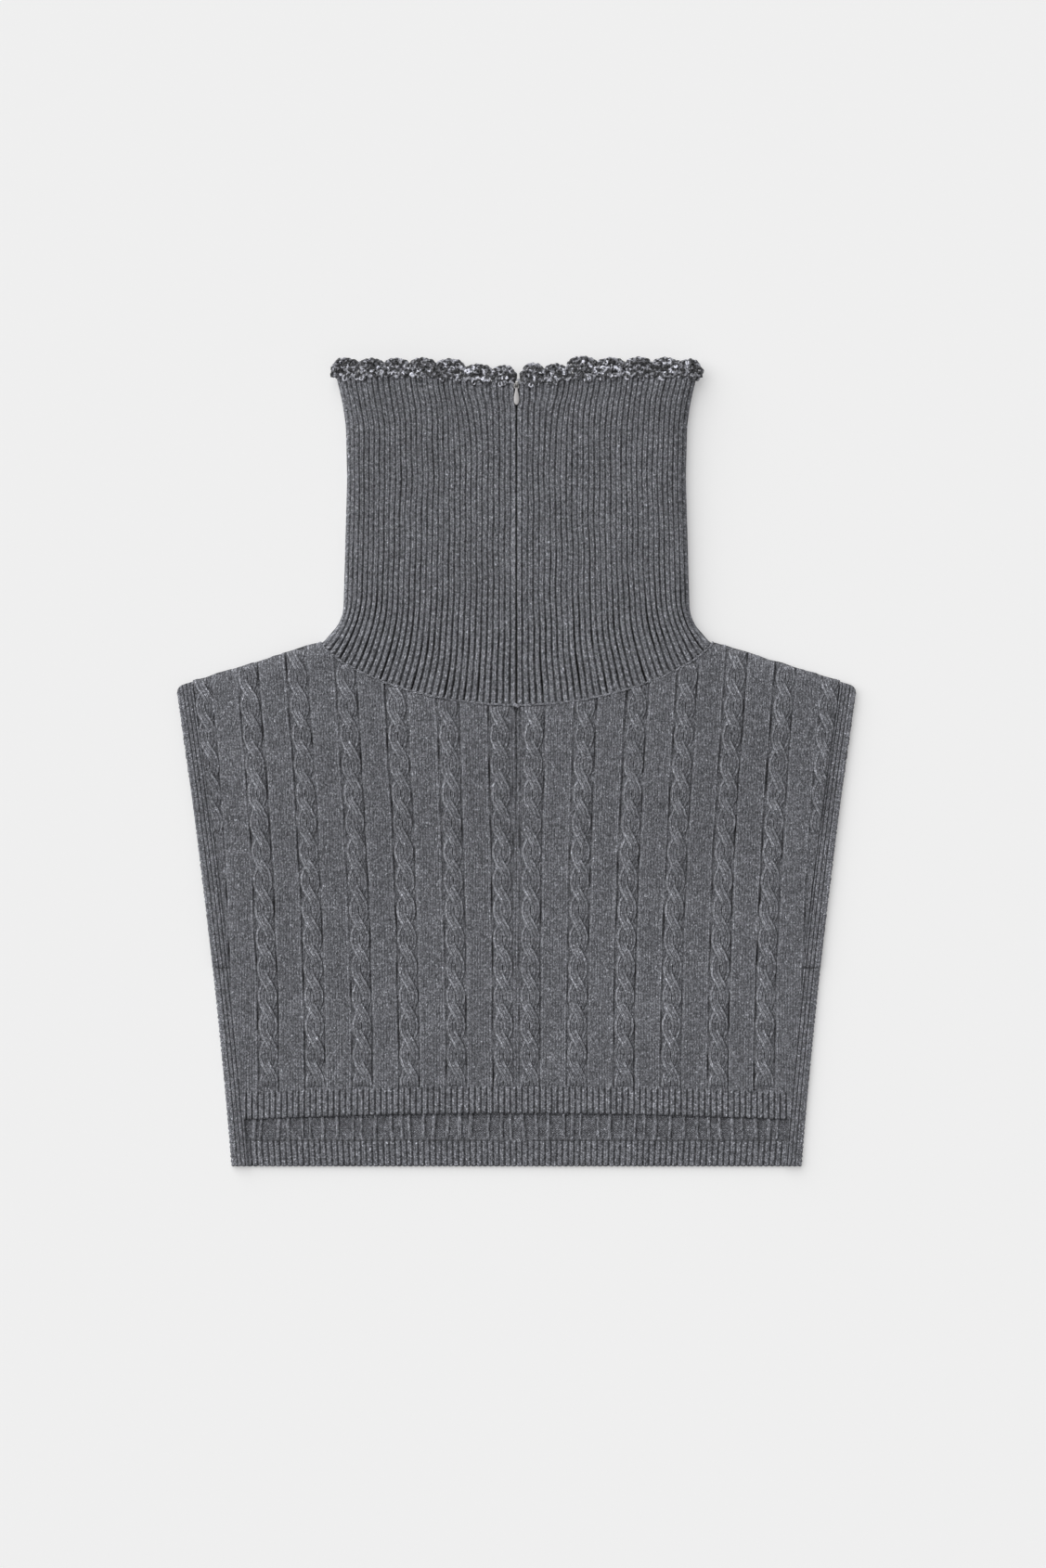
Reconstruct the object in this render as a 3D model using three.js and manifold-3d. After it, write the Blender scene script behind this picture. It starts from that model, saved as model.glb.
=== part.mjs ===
import * as THREE from "three";
import { mergeVertices } from "three/addons/utils/BufferGeometryUtils.js";
import Module from "manifold-3d";

// A cable-knit turtleneck dickey, laid flat on its back.
// X runs across the shoulders, Y from the hem to the collar, Z up from the floor.
// The near side, on top, is the front, with the zip down the middle of its collar.
// Sizes are in millimetres.

// Outline of the body
const shoulderWidth = 382;
const backHemWidth = 320;
const bodyLength = 269;
const shoulderRise = 25;
const sideHollow = 2.3;
const cornerRadius = 4;
const frontHemRise = 30;
const frontHemDroop = 3.6;
const hemDepth = 15;
const armholeDepth = 158;
const borderWidth = 9.5;

// Neck seam and collar
const neckWidth = 220;
const frontNeckDrop = 35.5;
const backNeckDrop = 10;
const collarWidth = 191.5;
const collarHeight = 148.5;
const nearTopDip = 3.6;
const farTopDip = 13;
const fanHeight = 36;
const fanHeightAtFold = 20;

// Knitted walls
const collarWall = 2.0;
const panelWall = 1.7;
const ribPitch = 3.25;
const ribGroove = 0.6;
const hemGroove = 0.45;
const cableWidth = 9.8;
const cableRelief = 0.85;
const cablePitch = 17;
const centreDitch = 4.8;

// How the two layers lie on each other
const layerGap = 0.5;
const openGap = 6.0;
const openEdge = 12;
const openReach = 100;
const foldRadius = 4;
const seamGap = 0.45;
const restGap = 0.35;

// Crocheted frill
const frillHeight = 10.6;
const frillThickness = 3.0;
const scallopPitch = 14.5;
const frillWave = 0.8;

// Zip
const slitWidth = 1.9;
const tapeWidth = 12;
const tapeThickness = 0.7;
const coilWidth = 3;
const coilThickness = 0.6;
const sliderLength = 8;
const sliderWidth = 5;
const sliderPlate = 1.2;
const bridgeWidth = 1.2;
const bridgeLength = 2.8;
const bridgeBar = 0.6;
const eyeHeight = 1.6;
const pinRadius = 0.35;
const ringBar = 0.5;
const pullLength = 12;
const pullWidth = 2.7;
const pullThickness = 0.7;

const fabric = { color: 0x64656a, roughness: 0.95, metalness: 0 };
const edging = { color: 0x5b5b60, roughness: 0.7, metalness: 0 };
const tapeFinish = { color: 0x3a3b40, roughness: 0.9, metalness: 0 };
const enamel = { color: 0xb0adad, roughness: 0.4, metalness: 0.1 };
const steel = { color: 0xb8b6b4, roughness: 0.35, metalness: 0.8 };

// Half widths and heights that the outline is made from, measured up from the back hem
const shoulderHalf = shoulderWidth / 2;
const hemHalf = backHemWidth / 2;
const neckHalf = neckWidth / 2;
const collarHalf = collarWidth / 2;
const neckHeight = bodyLength + shoulderRise;
const collarTop = neckHeight + collarHeight;
const armholeBase = bodyLength - armholeDepth;
const nearBase = collarWall + layerGap;

// Half width of the collar, as a share of its narrowest, at shares of its height
const collarSides = [
  { up: 0.00, width: 1.030 },
  { up: 0.30, width: 1.014 },
  { up: 0.62, width: 1.000 },
  { up: 0.82, width: 1.008 },
  { up: 0.91, width: 1.030 },
  { up: 1.00, width: 1.064 },
];

// Cable columns: where each meets the hem, as a share of half the hem, and where it ends,
// as a share of the neck seam's half width or of the shoulder line
const cables = [
  { hem: 0.211, neck: 0.352, shoulder: null },
  { hem: 0.376, neck: 0.618, shoulder: null },
  { hem: 0.540, neck: 0.875, shoulder: null },
  { hem: 0.706, neck: null, shoulder: 0.17 },
  { hem: 0.868, neck: null, shoulder: 0.51 },
];

const lerp = THREE.MathUtils.lerp;
const clamp = THREE.MathUtils.clamp;

function smooth(value) {
  const share = clamp(value, 0, 1);
  return share * share * (3 - 2 * share);
}

// A quarter round: 0 at an edge, 1 from one radius in
function rounding(share) {
  const rest = 1 - clamp(share, 0, 1);
  return Math.sqrt(1 - rest * rest);
}

function collarHalfAt(y) {
  const up = clamp((y - neckHeight) / collarHeight, 0, 1);
  let row = 0;
  while (row < collarSides.length - 2 && up > collarSides[row + 1].up) {
    row += 1;
  }
  const low = collarSides[row];
  const high = collarSides[row + 1];
  const share = (up - low.up) / (high.up - low.up);
  return collarHalf * lerp(low.width, high.width, share);
}

function sideX(y) {
  const share = clamp(y / bodyLength, 0, 1);
  return lerp(hemHalf, shoulderHalf, share) - sideHollow * 4 * share * (1 - share);
}

// The neck seam hangs between the two neck points, flatter than half an ellipse
function seamY(x, half, drop) {
  const share = clamp(Math.abs(x) / half, 0, 1);
  return neckHeight - drop * Math.pow(1 - share * share, 0.75);
}

function shoulderY(x) {
  const share = clamp((Math.abs(x) - neckHalf) / (shoulderHalf - neckHalf), 0, 1);
  const corner = clamp((Math.abs(x) - shoulderHalf + cornerRadius) / cornerRadius, 0, 1);
  return neckHeight - share * shoulderRise - corner * corner * cornerRadius * 0.7;
}

function panelTop(x, drop) {
  const half = neckHalf + seamGap;
  return Math.abs(x) < half ? seamY(x, half, drop + seamGap) : shoulderY(x);
}

// Points at even steps of length along half of the neck seam, from its middle to the neck point
const seamSamples = 64;

function seamTrack(drop) {
  const points = [];
  for (let i = 0; i <= seamSamples; i += 1) {
    const angle = (i / seamSamples) * Math.PI / 2;
    const x = neckHalf * Math.sin(angle);
    points.push(new THREE.Vector2(x, neckHeight - drop * Math.pow(Math.cos(angle), 1.5)));
  }
  points[seamSamples].set(neckHalf, neckHeight);
  const lengths = [0];
  for (let i = 1; i <= seamSamples; i += 1) {
    lengths.push(lengths[i - 1] + points[i].distanceTo(points[i - 1]));
  }
  return { points, lengths };
}

const nearSeam = seamTrack(frontNeckDrop);
const farSeam = seamTrack(backNeckDrop);

function seamPoint(track, share) {
  const wanted = share * track.lengths[seamSamples];
  let i = 0;
  while (i < seamSamples - 1 && track.lengths[i + 1] < wanted) {
    i += 1;
  }
  const step = (wanted - track.lengths[i]) / (track.lengths[i + 1] - track.lengths[i]);
  return track.points[i].clone().lerp(track.points[i + 1], clamp(step, 0, 1));
}

// Where a rib of the collar lies, seen from above. Across is 0 at the middle and 1 at the fold,
// up is 0 at the neck seam and 1 at the top edge. Near the fold the ribs crowd together.
const crowding = 0.505;

function collarPlace(across, up, near) {
  const start = seamPoint(near ? nearSeam : farSeam, across);
  const dip = near ? nearTopDip : farTopDip;
  const dipSpan = near ? 0.5 : 0.85;
  const dipShare = Math.max(0, 1 - (across / dipSpan) ** 2);
  const y = lerp(start.y, collarTop - dip * dipShare * dipShare, up);
  const column = collarHalfAt(y) * Math.sin(crowding * across) / Math.sin(crowding);
  const fan = lerp(fanHeight, fanHeightAtFold, across * across);
  const left = 1 - clamp((y - start.y) / fan, 0, 1);
  return new THREE.Vector2(column + (start.x - column) * Math.pow(left, 2.2), y);
}

// The right half of the outline, with no hem and no top edge, to measure distances from
const outline = [];
for (let i = 0; i <= 4; i += 1) {
  outline.push(new THREE.Vector2(sideX(bodyLength * i / 4), bodyLength * i / 4));
}
for (let i = 0; i <= 16; i += 1) {
  outline.push(collarPlace(1, (i / 16) ** 1.5, true));
}

function edgeDistance(x, y) {
  const point = new THREE.Vector2(Math.abs(x), y);
  const nearest = new THREE.Vector3();
  let least = Infinity;
  for (let i = 0; i < outline.length - 1; i += 1) {
    const start = new THREE.Vector3(outline[i].x, outline[i].y, 0);
    const end = new THREE.Vector3(outline[i + 1].x, outline[i + 1].y, 0);
    const line = new THREE.Line3(start, end);
    line.closestPointToPoint(new THREE.Vector3(point.x, point.y, 0), true, nearest);
    least = Math.min(least, Math.hypot(nearest.x - point.x, nearest.y - point.y));
  }
  return least;
}

// Height of the inner face of the near layer: it stands open round the neck
// and comes down on the far layer at the folds, the armholes and the hem
function nearInner(x, y) {
  const aside = Math.max(Math.abs(x) - collarHalf, 0);
  const below = Math.max(neckHeight - frontNeckDrop - 10 - y, 0);
  const open = 1 - smooth(Math.hypot(aside, below) / openReach);
  return nearBase + openGap * open * rounding(edgeDistance(x, y) / openEdge);
}

// A closed shell that is built up from rows of points
class Shell {
  constructor() {
    this.points = [];
    this.faces = [];
  }

  add(x, y, z) {
    this.points.push(new THREE.Vector3(x, y, z));
    return this.points.length - 1;
  }

  shares(row) {
    const sums = [0];
    for (let i = 1; i < row.length; i += 1) {
      sums.push(sums[i - 1] + this.points[row[i]].distanceTo(this.points[row[i - 1]]));
    }
    return sums.map((sum) => sum / sums[row.length - 1]);
  }

  // Joins two rows, which may have different numbers of points
  bridge(rowA, rowB) {
    const even = rowA.length === rowB.length;
    const shareA = even ? rowA.map((_, i) => i) : this.shares(rowA);
    const shareB = even ? rowB.map((_, i) => i) : this.shares(rowB);
    let a = 0;
    let b = 0;
    while (a < rowA.length - 1 || b < rowB.length - 1) {
      const stepA = b === rowB.length - 1 || (a < rowA.length - 1 && shareA[a + 1] <= shareB[b + 1]);
      if (stepA) {
        this.faces.push([rowA[a], rowA[a + 1], rowB[b]]);
        a += 1;
      } else {
        this.faces.push([rowB[b + 1], rowB[b], rowA[a]]);
        b += 1;
      }
    }
  }

  // A wall between an outer face and an inner face, each a list of rows
  wall(outer, inner) {
    for (let i = 0; i < outer.length - 1; i += 1) {
      this.bridge(outer[i], outer[i + 1]);
    }
    for (let i = 0; i < inner.length - 1; i += 1) {
      this.bridge(inner[i + 1], inner[i]);
    }
    this.bridge(inner[0], outer[0]);
    this.bridge(outer[outer.length - 1], inner[inner.length - 1]);
    this.bridge(outer.map((row) => row[0]), inner.map((row) => row[0]));
    this.bridge(inner.map((row) => row[row.length - 1]), outer.map((row) => row[row.length - 1]));
  }

  // A solid along a list of rings with equal numbers of points
  loft(rings) {
    for (let i = 0; i < rings.length - 1; i += 1) {
      this.bridge([...rings[i], rings[i][0]], [...rings[i + 1], rings[i + 1][0]]);
    }
    const first = rings[0];
    const last = rings[rings.length - 1];
    for (let i = 1; i < first.length - 1; i += 1) {
      this.faces.push([first[0], first[i + 1], first[i]]);
      this.faces.push([last[0], last[i], last[i + 1]]);
    }
  }

  volume() {
    let sum = 0;
    for (const [a, b, c] of this.faces) {
      const cross = new THREE.Vector3().crossVectors(this.points[b], this.points[c]);
      sum += this.points[a].dot(cross) / 6;
    }
    return sum;
  }

  geometry() {
    const outward = this.volume() > 0;
    const geometry = new THREE.BufferGeometry();
    const positions = this.points.flatMap((point) => [point.x, point.y, point.z]);
    geometry.setAttribute("position", new THREE.Float32BufferAttribute(positions, 3));
    geometry.setIndex(this.faces.flatMap(([a, b, c]) => (outward ? [a, b, c] : [a, c, b])));
    geometry.computeVertexNormals();
    return geometry;
  }
}

function mesh(name, geometry, finish) {
  const piece = new THREE.Mesh(geometry, new THREE.MeshStandardMaterial(finish));
  piece.name = name;
  return piece;
}

// Crests and grooves of a ribbed width: positions from 0 to 1 and a depth for each
function ribSteps(width) {
  const ribs = Math.max(2, Math.round(width / ribPitch));
  const steps = [];
  for (let i = 0; i <= 2 * ribs; i += 1) {
    steps.push({ share: i / (2 * ribs), groove: i % 2 === 0 ? 1 : 0 });
  }
  return steps;
}

// Collar: a ribbed tube, flattened, slit down the middle of its near side

const collarFold = nearBase - layerGap / 2;
const slitShare = slitWidth / 2 / collarHalf;

function collarOuter(across, up, near, side, groove) {
  const place = collarPlace(across, up, near);
  const round = across === 1 ? 0 : rounding(edgeDistance(place.x, place.y) / foldRadius);
  const top = nearInner(place.x, place.y) + collarWall - groove * ribGroove;
  const z = near ? lerp(collarFold, top, round) : collarFold * (1 - round);
  return new THREE.Vector3(side * place.x, place.y, z);
}

function collarInner(across, up, near, side) {
  const place = collarPlace(across, up, near);
  const inset = across * across * across * collarWall;
  const z = near ? nearInner(place.x - inset, place.y) : collarWall;
  return new THREE.Vector3(side * (place.x - inset), place.y, z);
}

function collar() {
  const shell = new Shell();
  const place = (point) => shell.add(point.x, point.y, point.z);
  const ribs = ribSteps(collarHalf - slitWidth / 2);
  const nearSteps = ribs.map(({ share, groove }) => ({ across: lerp(slitShare, 1, share), groove }));
  nearSteps.splice(nearSteps.length - 1, 0, { across: 0.992, groove: 0.5 });
  const farSteps = [0.992, 0.97, 0.93, 0.8, 0.65, 0.5, 0.35, 0.2, 0.1];
  const outerUps = [0, 0.05, 0.12, 0.22, 0.5, 0.85, 1];
  const outer = outerUps.map((up) => {
    const row = [];
    for (const { across, groove } of nearSteps) {
      row.push(place(collarOuter(across, up, true, 1, groove)));
    }
    for (const across of farSteps) {
      row.push(place(collarOuter(across, up, false, 1, 0)));
    }
    row.push(place(collarOuter(0, up, false, 1, 0)));
    for (const across of [...farSteps].reverse()) {
      row.push(place(collarOuter(across, up, false, -1, 0)));
    }
    for (const { across, groove } of [...nearSteps].reverse()) {
      row.push(place(collarOuter(across, up, true, -1, groove)));
    }
    return row;
  });
  const innerSteps = [slitShare, 0.15, 0.3, 0.45, 0.6, 0.72, 0.82, 0.9, 0.95, 0.985, 1];
  const innerUps = [0, 0.06, 0.14, 0.24, 0.6, 1];
  const inner = innerUps.map((up) => {
    const row = [];
    for (const across of innerSteps) {
      row.push(place(collarInner(across, up, true, 1)));
    }
    for (const across of [...innerSteps].reverse()) {
      row.push(place(collarInner(across === slitShare ? 0.1 : across, up, false, 1)));
    }
    row.push(place(collarInner(0, up, false, 1)));
    for (const across of innerSteps) {
      row.push(place(collarInner(across === slitShare ? 0.1 : across, up, false, -1)));
    }
    for (const across of [...innerSteps].reverse()) {
      row.push(place(collarInner(across, up, true, -1)));
    }
    return row;
  });
  shell.wall(outer, inner);
  return mesh("collar", shell.geometry(), fabric);
}

// Frill: scallops along the collar's top edge, parted at the slit

// The middle of the collar's wall at its top edge. Turn runs from 0 at the slit through 1 at
// the fold to 2 at the middle of the far side.
function topMiddle(turn, side) {
  const near = turn <= 1;
  const across = near ? turn : 2 - turn;
  const outer = collarOuter(across, 1, near, side, 0);
  const inner = collarInner(across, 1, near, side);
  return { middle: outer.clone().lerp(inner, 0.5), out: outer.clone().sub(inner).normalize() };
}

function frillTrack(side) {
  const turns = [];
  for (let i = 0; i <= 200; i += 1) {
    turns.push(slitShare + (2 - slitShare) * i / 200);
  }
  const lengths = [0];
  for (let i = 1; i < turns.length; i += 1) {
    const step = topMiddle(turns[i], side).middle.distanceTo(topMiddle(turns[i - 1], side).middle);
    lengths.push(lengths[i - 1] + step);
  }
  return { turns, lengths };
}

// Sections of the frill through one scallop: its height and its wave, as shares
const scallopSections = [
  { along: 0.08, height: 0.62, wave: -1 },
  { along: 0.36, height: 0.97, wave: 0.4 },
  { along: 0.68, height: 1.0, wave: 1 },
];

const frillSides = 8;

// The near side waves in and out, and the far side is pressed flat on the floor
function frillRing(shell, turn, side, height, wave) {
  const { middle, out } = topMiddle(turn, side);
  const ring = [];
  const pressed = smooth((turn - 1) * 8);
  const thickness = lerp(frillThickness, collarWall * 1.1, pressed);
  const swing = Math.max(wave, -0.5) * frillWave * (1 - pressed);
  const centre = middle.clone().addScaledVector(out, swing);
  centre.z = Math.max(centre.z, thickness / 2);
  for (let i = 0; i < frillSides; i += 1) {
    const angle = (i / frillSides) * 2 * Math.PI;
    const across = Math.cos(angle) * thickness / 2;
    const rise = (1 + Math.sin(angle)) * height * frillHeight / 2;
    const point = centre.clone().addScaledVector(out, across);
    ring.push(shell.add(point.x, point.y + restGap + rise, Math.max(point.z, 0)));
  }
  return ring;
}

function frill() {
  const shell = new Shell();
  const halfRings = [1, -1].map((side) => {
    const { turns, lengths } = frillTrack(side);
    const total = lengths[lengths.length - 1];
    const scallops = Math.max(4, Math.round(total / scallopPitch));
    const rings = [];
    for (let i = 0; i < scallops; i += 1) {
      for (const { along, height, wave } of scallopSections) {
        const wanted = (i + along) / scallops * total;
        const at = lengths.findIndex((length) => length >= wanted);
        const swing = i % 2 === 0 ? wave : -wave * 0.5;
        rings.push(frillRing(shell, turns[at], side, height, swing));
      }
    }
    return rings;
  });
  const [right, left] = halfRings;
  shell.loft([...right, ...[...left].reverse()]);
  return mesh("collar_frill", shell.geometry(), edging);
}

// Panels

// Where a column of the knitting lies at a height: it leans outwards more towards the shoulder
function lean(hemX, topX, share) {
  return lerp(hemX, topX, Math.pow(clamp(share, 0, 1), 1.8));
}

function cableColumns() {
  const first = (centreDitch + cableWidth) / 2;
  const rows = cables.map(({ hem, neck, shoulder }) => ({
    hemX: hem * hemHalf,
    topX: neck === null ? lerp(neckHalf, shoulderHalf, shoulder) : neck * neckHalf,
  }));
  return [{ hemX: first, topX: first * 1.35 }, ...rows];
}

function frontEdgeX(y) {
  return sideX(y) - borderWidth - restGap;
}

function frontHemY(x) {
  return frontHemRise - frontHemDroop * (x / frontEdgeX(frontHemRise)) ** 2;
}

// Columns of the right half of the front panel, from the middle out.
// Form is where a column stands in its cable: -1 and 1 at its sides, 0 between.
function frontColumns() {
  const columns = [{ hemX: 0, topX: 0, form: null, plain: true }];
  const corner = neckHalf + seamGap;
  const placed = cableColumns();
  placed.forEach(({ hemX, topX }, index) => {
    const next = placed[index + 1];
    for (const form of [-1, -0.5, 0, 0.5, 1]) {
      const offset = form * cableWidth / 2;
      columns.push({ hemX: hemX + offset, topX: topX + offset, form, plain: Math.abs(form) === 1 });
    }
    if (next && topX < corner && next.topX > corner) {
      const start = (topX + cableWidth / 2) / corner;
      for (const share of [0.5, 0.85, 0.96, 1]) {
        const angle = lerp(Math.asin(clamp(start, 0, 0.999)), Math.PI / 2, share);
        const low = hemX + cableWidth / 2;
        const high = next.hemX - cableWidth / 2;
        columns.push({ hemX: lerp(low, high, share * 0.8), topX: corner * Math.sin(angle),
          form: null, plain: true });
      }
    }
  });
  columns.push({ hemX: null, topX: null, form: null, plain: true });
  return columns;
}

// A cable's strands cross from upper left to lower right: one side is high above
// the crossing, and the other below it
function cableHeight(form, above) {
  if (form === null || Math.abs(form) === 1) {
    return 0;
  }
  const high = above ? -0.5 : 0.5;
  if (form === 0) {
    return cableRelief * 0.6;
  }
  return form === high ? cableRelief : cableRelief * 0.2;
}

function frontPlace(column, side, share) {
  const edge = column.hemX === null;
  const topX = edge ? frontEdgeX(bodyLength) : column.topX;
  const hemX = edge ? frontEdgeX(frontHemRise + hemDepth) : column.hemX;
  const top = panelTop(topX, frontNeckDrop);
  const low = frontHemY(hemX) + hemDepth;
  const y = lerp(low, top, share);
  const x = edge ? frontEdgeX(y) : lean(hemX, topX, share);
  return new THREE.Vector2(side * x, y);
}

// The near layer thins out where it comes down on the shoulder seam
function nearOuter(x, y, relief) {
  const round = rounding(edgeDistance(x, y) / foldRadius);
  return nearInner(x, y) + (panelWall + relief) * lerp(0.45, 1, round);
}

function frontPanel() {
  const shell = new Shell();
  const columns = frontColumns();
  const across = [
    ...columns.slice(1).reverse().map((column) => ({ column, side: -1 })),
    ...columns.map((column) => ({ column, side: 1 })),
  ];
  const middleLength = neckHeight - frontNeckDrop - frontHemRise - hemDepth;
  const crossings = Math.max(2, Math.round(middleLength / cablePitch));
  const steps = [{ share: 0, above: true }];
  for (let i = 0; i < crossings; i += 1) {
    steps.push({ share: (i + 0.27) / crossings, above: false });
    steps.push({ share: (i + 0.73) / crossings, above: true });
  }
  steps.push({ share: 1, above: false });
  const body = steps.map(({ share, above }) => across.map(({ column, side }) => {
    const place = frontPlace(column, side, share);
    const form = column.form === null ? null : column.form * side;
    return shell.add(place.x, place.y, nearOuter(place.x, place.y, cableHeight(form, above)));
  }));
  const hemWidth = frontEdgeX(frontHemRise);
  const ribs = ribSteps(2 * hemWidth);
  const hem = [0, 0.92].map((up) => ribs.map(({ share, groove }) => {
    const place = lerp(-1, 1, share);
    const y = frontHemY(place * hemWidth) + up * hemDepth;
    const x = place * frontEdgeX(y);
    return shell.add(x, y, nearInner(x, y) + panelWall - groove * hemGroove);
  }));
  const plain = across.filter(({ column }) => column.plain);
  const inner = [-1, 0, 0.2, 0.4, 0.6, 0.75, 0.88, 0.96, 1].map((share) => plain.map(({ column, side }) => {
    const place = frontPlace(column, side, Math.max(share, 0));
    if (share < 0) {
      const y = frontHemY(place.x);
      const x = column.hemX === null ? side * frontEdgeX(y) : place.x;
      return shell.add(x, y, nearInner(x, y));
    }
    return shell.add(place.x, place.y, nearInner(place.x, place.y));
  }));
  shell.wall([...hem, ...body], inner);
  return mesh("front_panel", shell.geometry(), fabric);
}

// Back panel: flat on the floor. Below the armholes its ribbed border folds round
// to the near side and meets the edge of the front panel.

const backInset = 0.6;

function backColumns() {
  const corner = neckHalf + seamGap;
  const angles = [0, 15, 30, 45, 60, 72, 80, 86, 90];
  const tops = angles.map((angle) => corner * Math.sin(THREE.MathUtils.degToRad(angle)));
  for (const share of [0.3, 0.6, 0.85]) {
    tops.push(lerp(corner, shoulderHalf - cornerRadius, share));
  }
  tops.push(null);
  return tops;
}

function backPlace(topX, side, share) {
  const edge = topX === null;
  const top = panelTop(edge ? shoulderHalf - backInset : topX, backNeckDrop);
  const y = lerp(0, top, share);
  const x = edge ? sideX(y) - backInset : lean(topX / shoulderHalf * hemHalf, topX, share);
  return new THREE.Vector2(side * x, y);
}

function backSheet() {
  const shell = new Shell();
  const tops = backColumns();
  const across = [
    ...tops.slice(1).reverse().map((topX) => ({ topX, side: -1 })),
    ...tops.map((topX) => ({ topX, side: 1 })),
  ];
  const ups = [0, 0.3, 0.6, 0.8, 0.93, 1];
  const outer = ups.map((up) => across.map(({ topX, side }) => {
    const place = backPlace(topX, side, up);
    const round = rounding((edgeDistance(place.x, place.y) - backInset) / foldRadius);
    return shell.add(place.x, place.y, panelWall * 0.4 * (1 - round));
  }));
  const ribs = ribSteps(2 * (sideX(0) - backInset));
  const hem = [0, 0.92].map((up) => ribs.map(({ share, groove }) => {
    const y = up * hemDepth;
    const x = lerp(-1, 1, share) * (sideX(y) - backInset);
    return shell.add(x, y, panelWall - groove * hemGroove);
  }));
  const innerUps = [hemDepth / bodyLength, 0.3, 0.6, 0.8, 0.93, 1];
  const inner = innerUps.map((up) => across.map(({ topX, side }) => {
    const place = backPlace(topX, side, up);
    return shell.add(place.x, place.y, panelWall);
  }));
  shell.wall(outer, [...hem, ...inner]);
  return shell;
}

// Crests and grooves across a border, from its inner edge out, then the fold
function borderSteps() {
  return ribSteps(borderWidth).reverse().map(({ share, groove }) => ({
    inset: share * borderWidth,
    groove: share === 0 ? 0 : groove,
  }));
}

function borderTop(inset, y, groove) {
  const x = sideX(y) - inset;
  return nearInner(x, y) + panelWall - groove * hemGroove;
}

// The folded border of the back panel, from the hem up to the armhole
function foldedBorder(side) {
  const shell = new Shell();
  const place = (inset, y, z) => shell.add(side * (sideX(y) - inset), y, z);
  const leg = foldRadius * 1.4;
  const inside = panelWall * 1.15;
  const ups = [0, 0.25, 0.5, 0.75, 1];
  const outer = ups.map((up) => {
    const y = up * armholeBase;
    const row = borderSteps().map(({ inset, groove }) => {
      const top = borderTop(inset, y, groove);
      return place(inset, y, lerp(collarFold, top, rounding(inset / foldRadius)));
    });
    row.push(place(foldRadius * 0.15, y, collarFold * 0.4));
    row.push(place(foldRadius * 0.6, y, collarFold * 0.08));
    row.push(place(leg, y, panelWall * 0.2));
    return row;
  });
  const inner = ups.map((up) => {
    const y = up * armholeBase;
    const row = [borderWidth, borderWidth / 2, inside].map((inset) => {
      return place(inset, y, nearInner(sideX(y) - inset, y));
    });
    row.push(place(inside, y, panelWall * 0.8));
    row.push(place(leg, y, panelWall * 0.8));
    return row;
  });
  shell.wall(outer, inner);
  return shell;
}

// The ribbed border along the front edge of an armhole
function armholeBorder(name, side) {
  const shell = new Shell();
  const low = armholeBase + restGap;
  const highAt = (inset) => shoulderY(shoulderHalf - inset);
  const heightAt = (inset, up) => lerp(low, highAt(inset), up);
  const ups = [0, 0.3, 0.6, 0.85, 0.95, 1];
  const outer = ups.map((up) => borderSteps().map(({ inset, groove }) => {
    const y = heightAt(inset, up);
    const round = rounding(edgeDistance(sideX(y) - inset, y) / foldRadius);
    const base = nearInner(sideX(y) - inset, y);
    const z = lerp(base + panelWall * 0.45, borderTop(inset, y, groove), round);
    return shell.add(side * (sideX(y) - inset), y, z);
  }));
  const inner = ups.map((up) => [borderWidth, borderWidth / 2, 0].map((inset) => {
    const y = heightAt(inset, up);
    return shell.add(side * (sideX(y) - inset), y, nearInner(sideX(y) - inset, y));
  }));
  shell.wall(outer, inner);
  return mesh(name, shell.geometry(), fabric);
}

// Joins solids into one

const wasm = await Module();
wasm.setup();

function solidOf(geometry) {
  const bare = geometry.clone();
  bare.deleteAttribute("normal");
  bare.deleteAttribute("uv");
  const merged = mergeVertices(bare, 1e-4);
  return new wasm.Manifold(new wasm.Mesh({
    numProp: 3,
    vertProperties: new Float32Array(merged.getAttribute("position").array),
    triVerts: new Uint32Array(merged.index.array),
  }));
}

function joined(geometries) {
  const solids = geometries.map(solidOf);
  const whole = solids.slice(1).reduce((sum, solid) => sum.add(solid), solids[0]).getMesh();
  const geometry = new THREE.BufferGeometry();
  geometry.setAttribute("position", new THREE.BufferAttribute(whole.vertProperties, 3));
  geometry.setIndex(new THREE.BufferAttribute(whole.triVerts, 1));
  geometry.computeVertexNormals();
  return geometry;
}

function backPanel() {
  const pieces = [backSheet(), foldedBorder(1), foldedBorder(-1)];
  return mesh("back_panel", joined(pieces.map((shell) => shell.geometry())), fabric);
}

// Zip: a tape with its coil inside the slit, a slider at the top, and a hinged pull

const slitBottom = neckHeight - frontNeckDrop;
const slitTop = collarTop - nearTopDip;
const wallInside = nearInner(0, slitTop);
const wallOutside = wallInside + collarWall;
const bridgeY = slitTop - bridgeLength * 0.3;
const pivotZ = wallOutside + restGap + pullThickness / 2;

function box(width, depth, height) {
  const geometry = new THREE.BoxGeometry(width, depth, height);
  return geometry.toNonIndexed();
}

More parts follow.
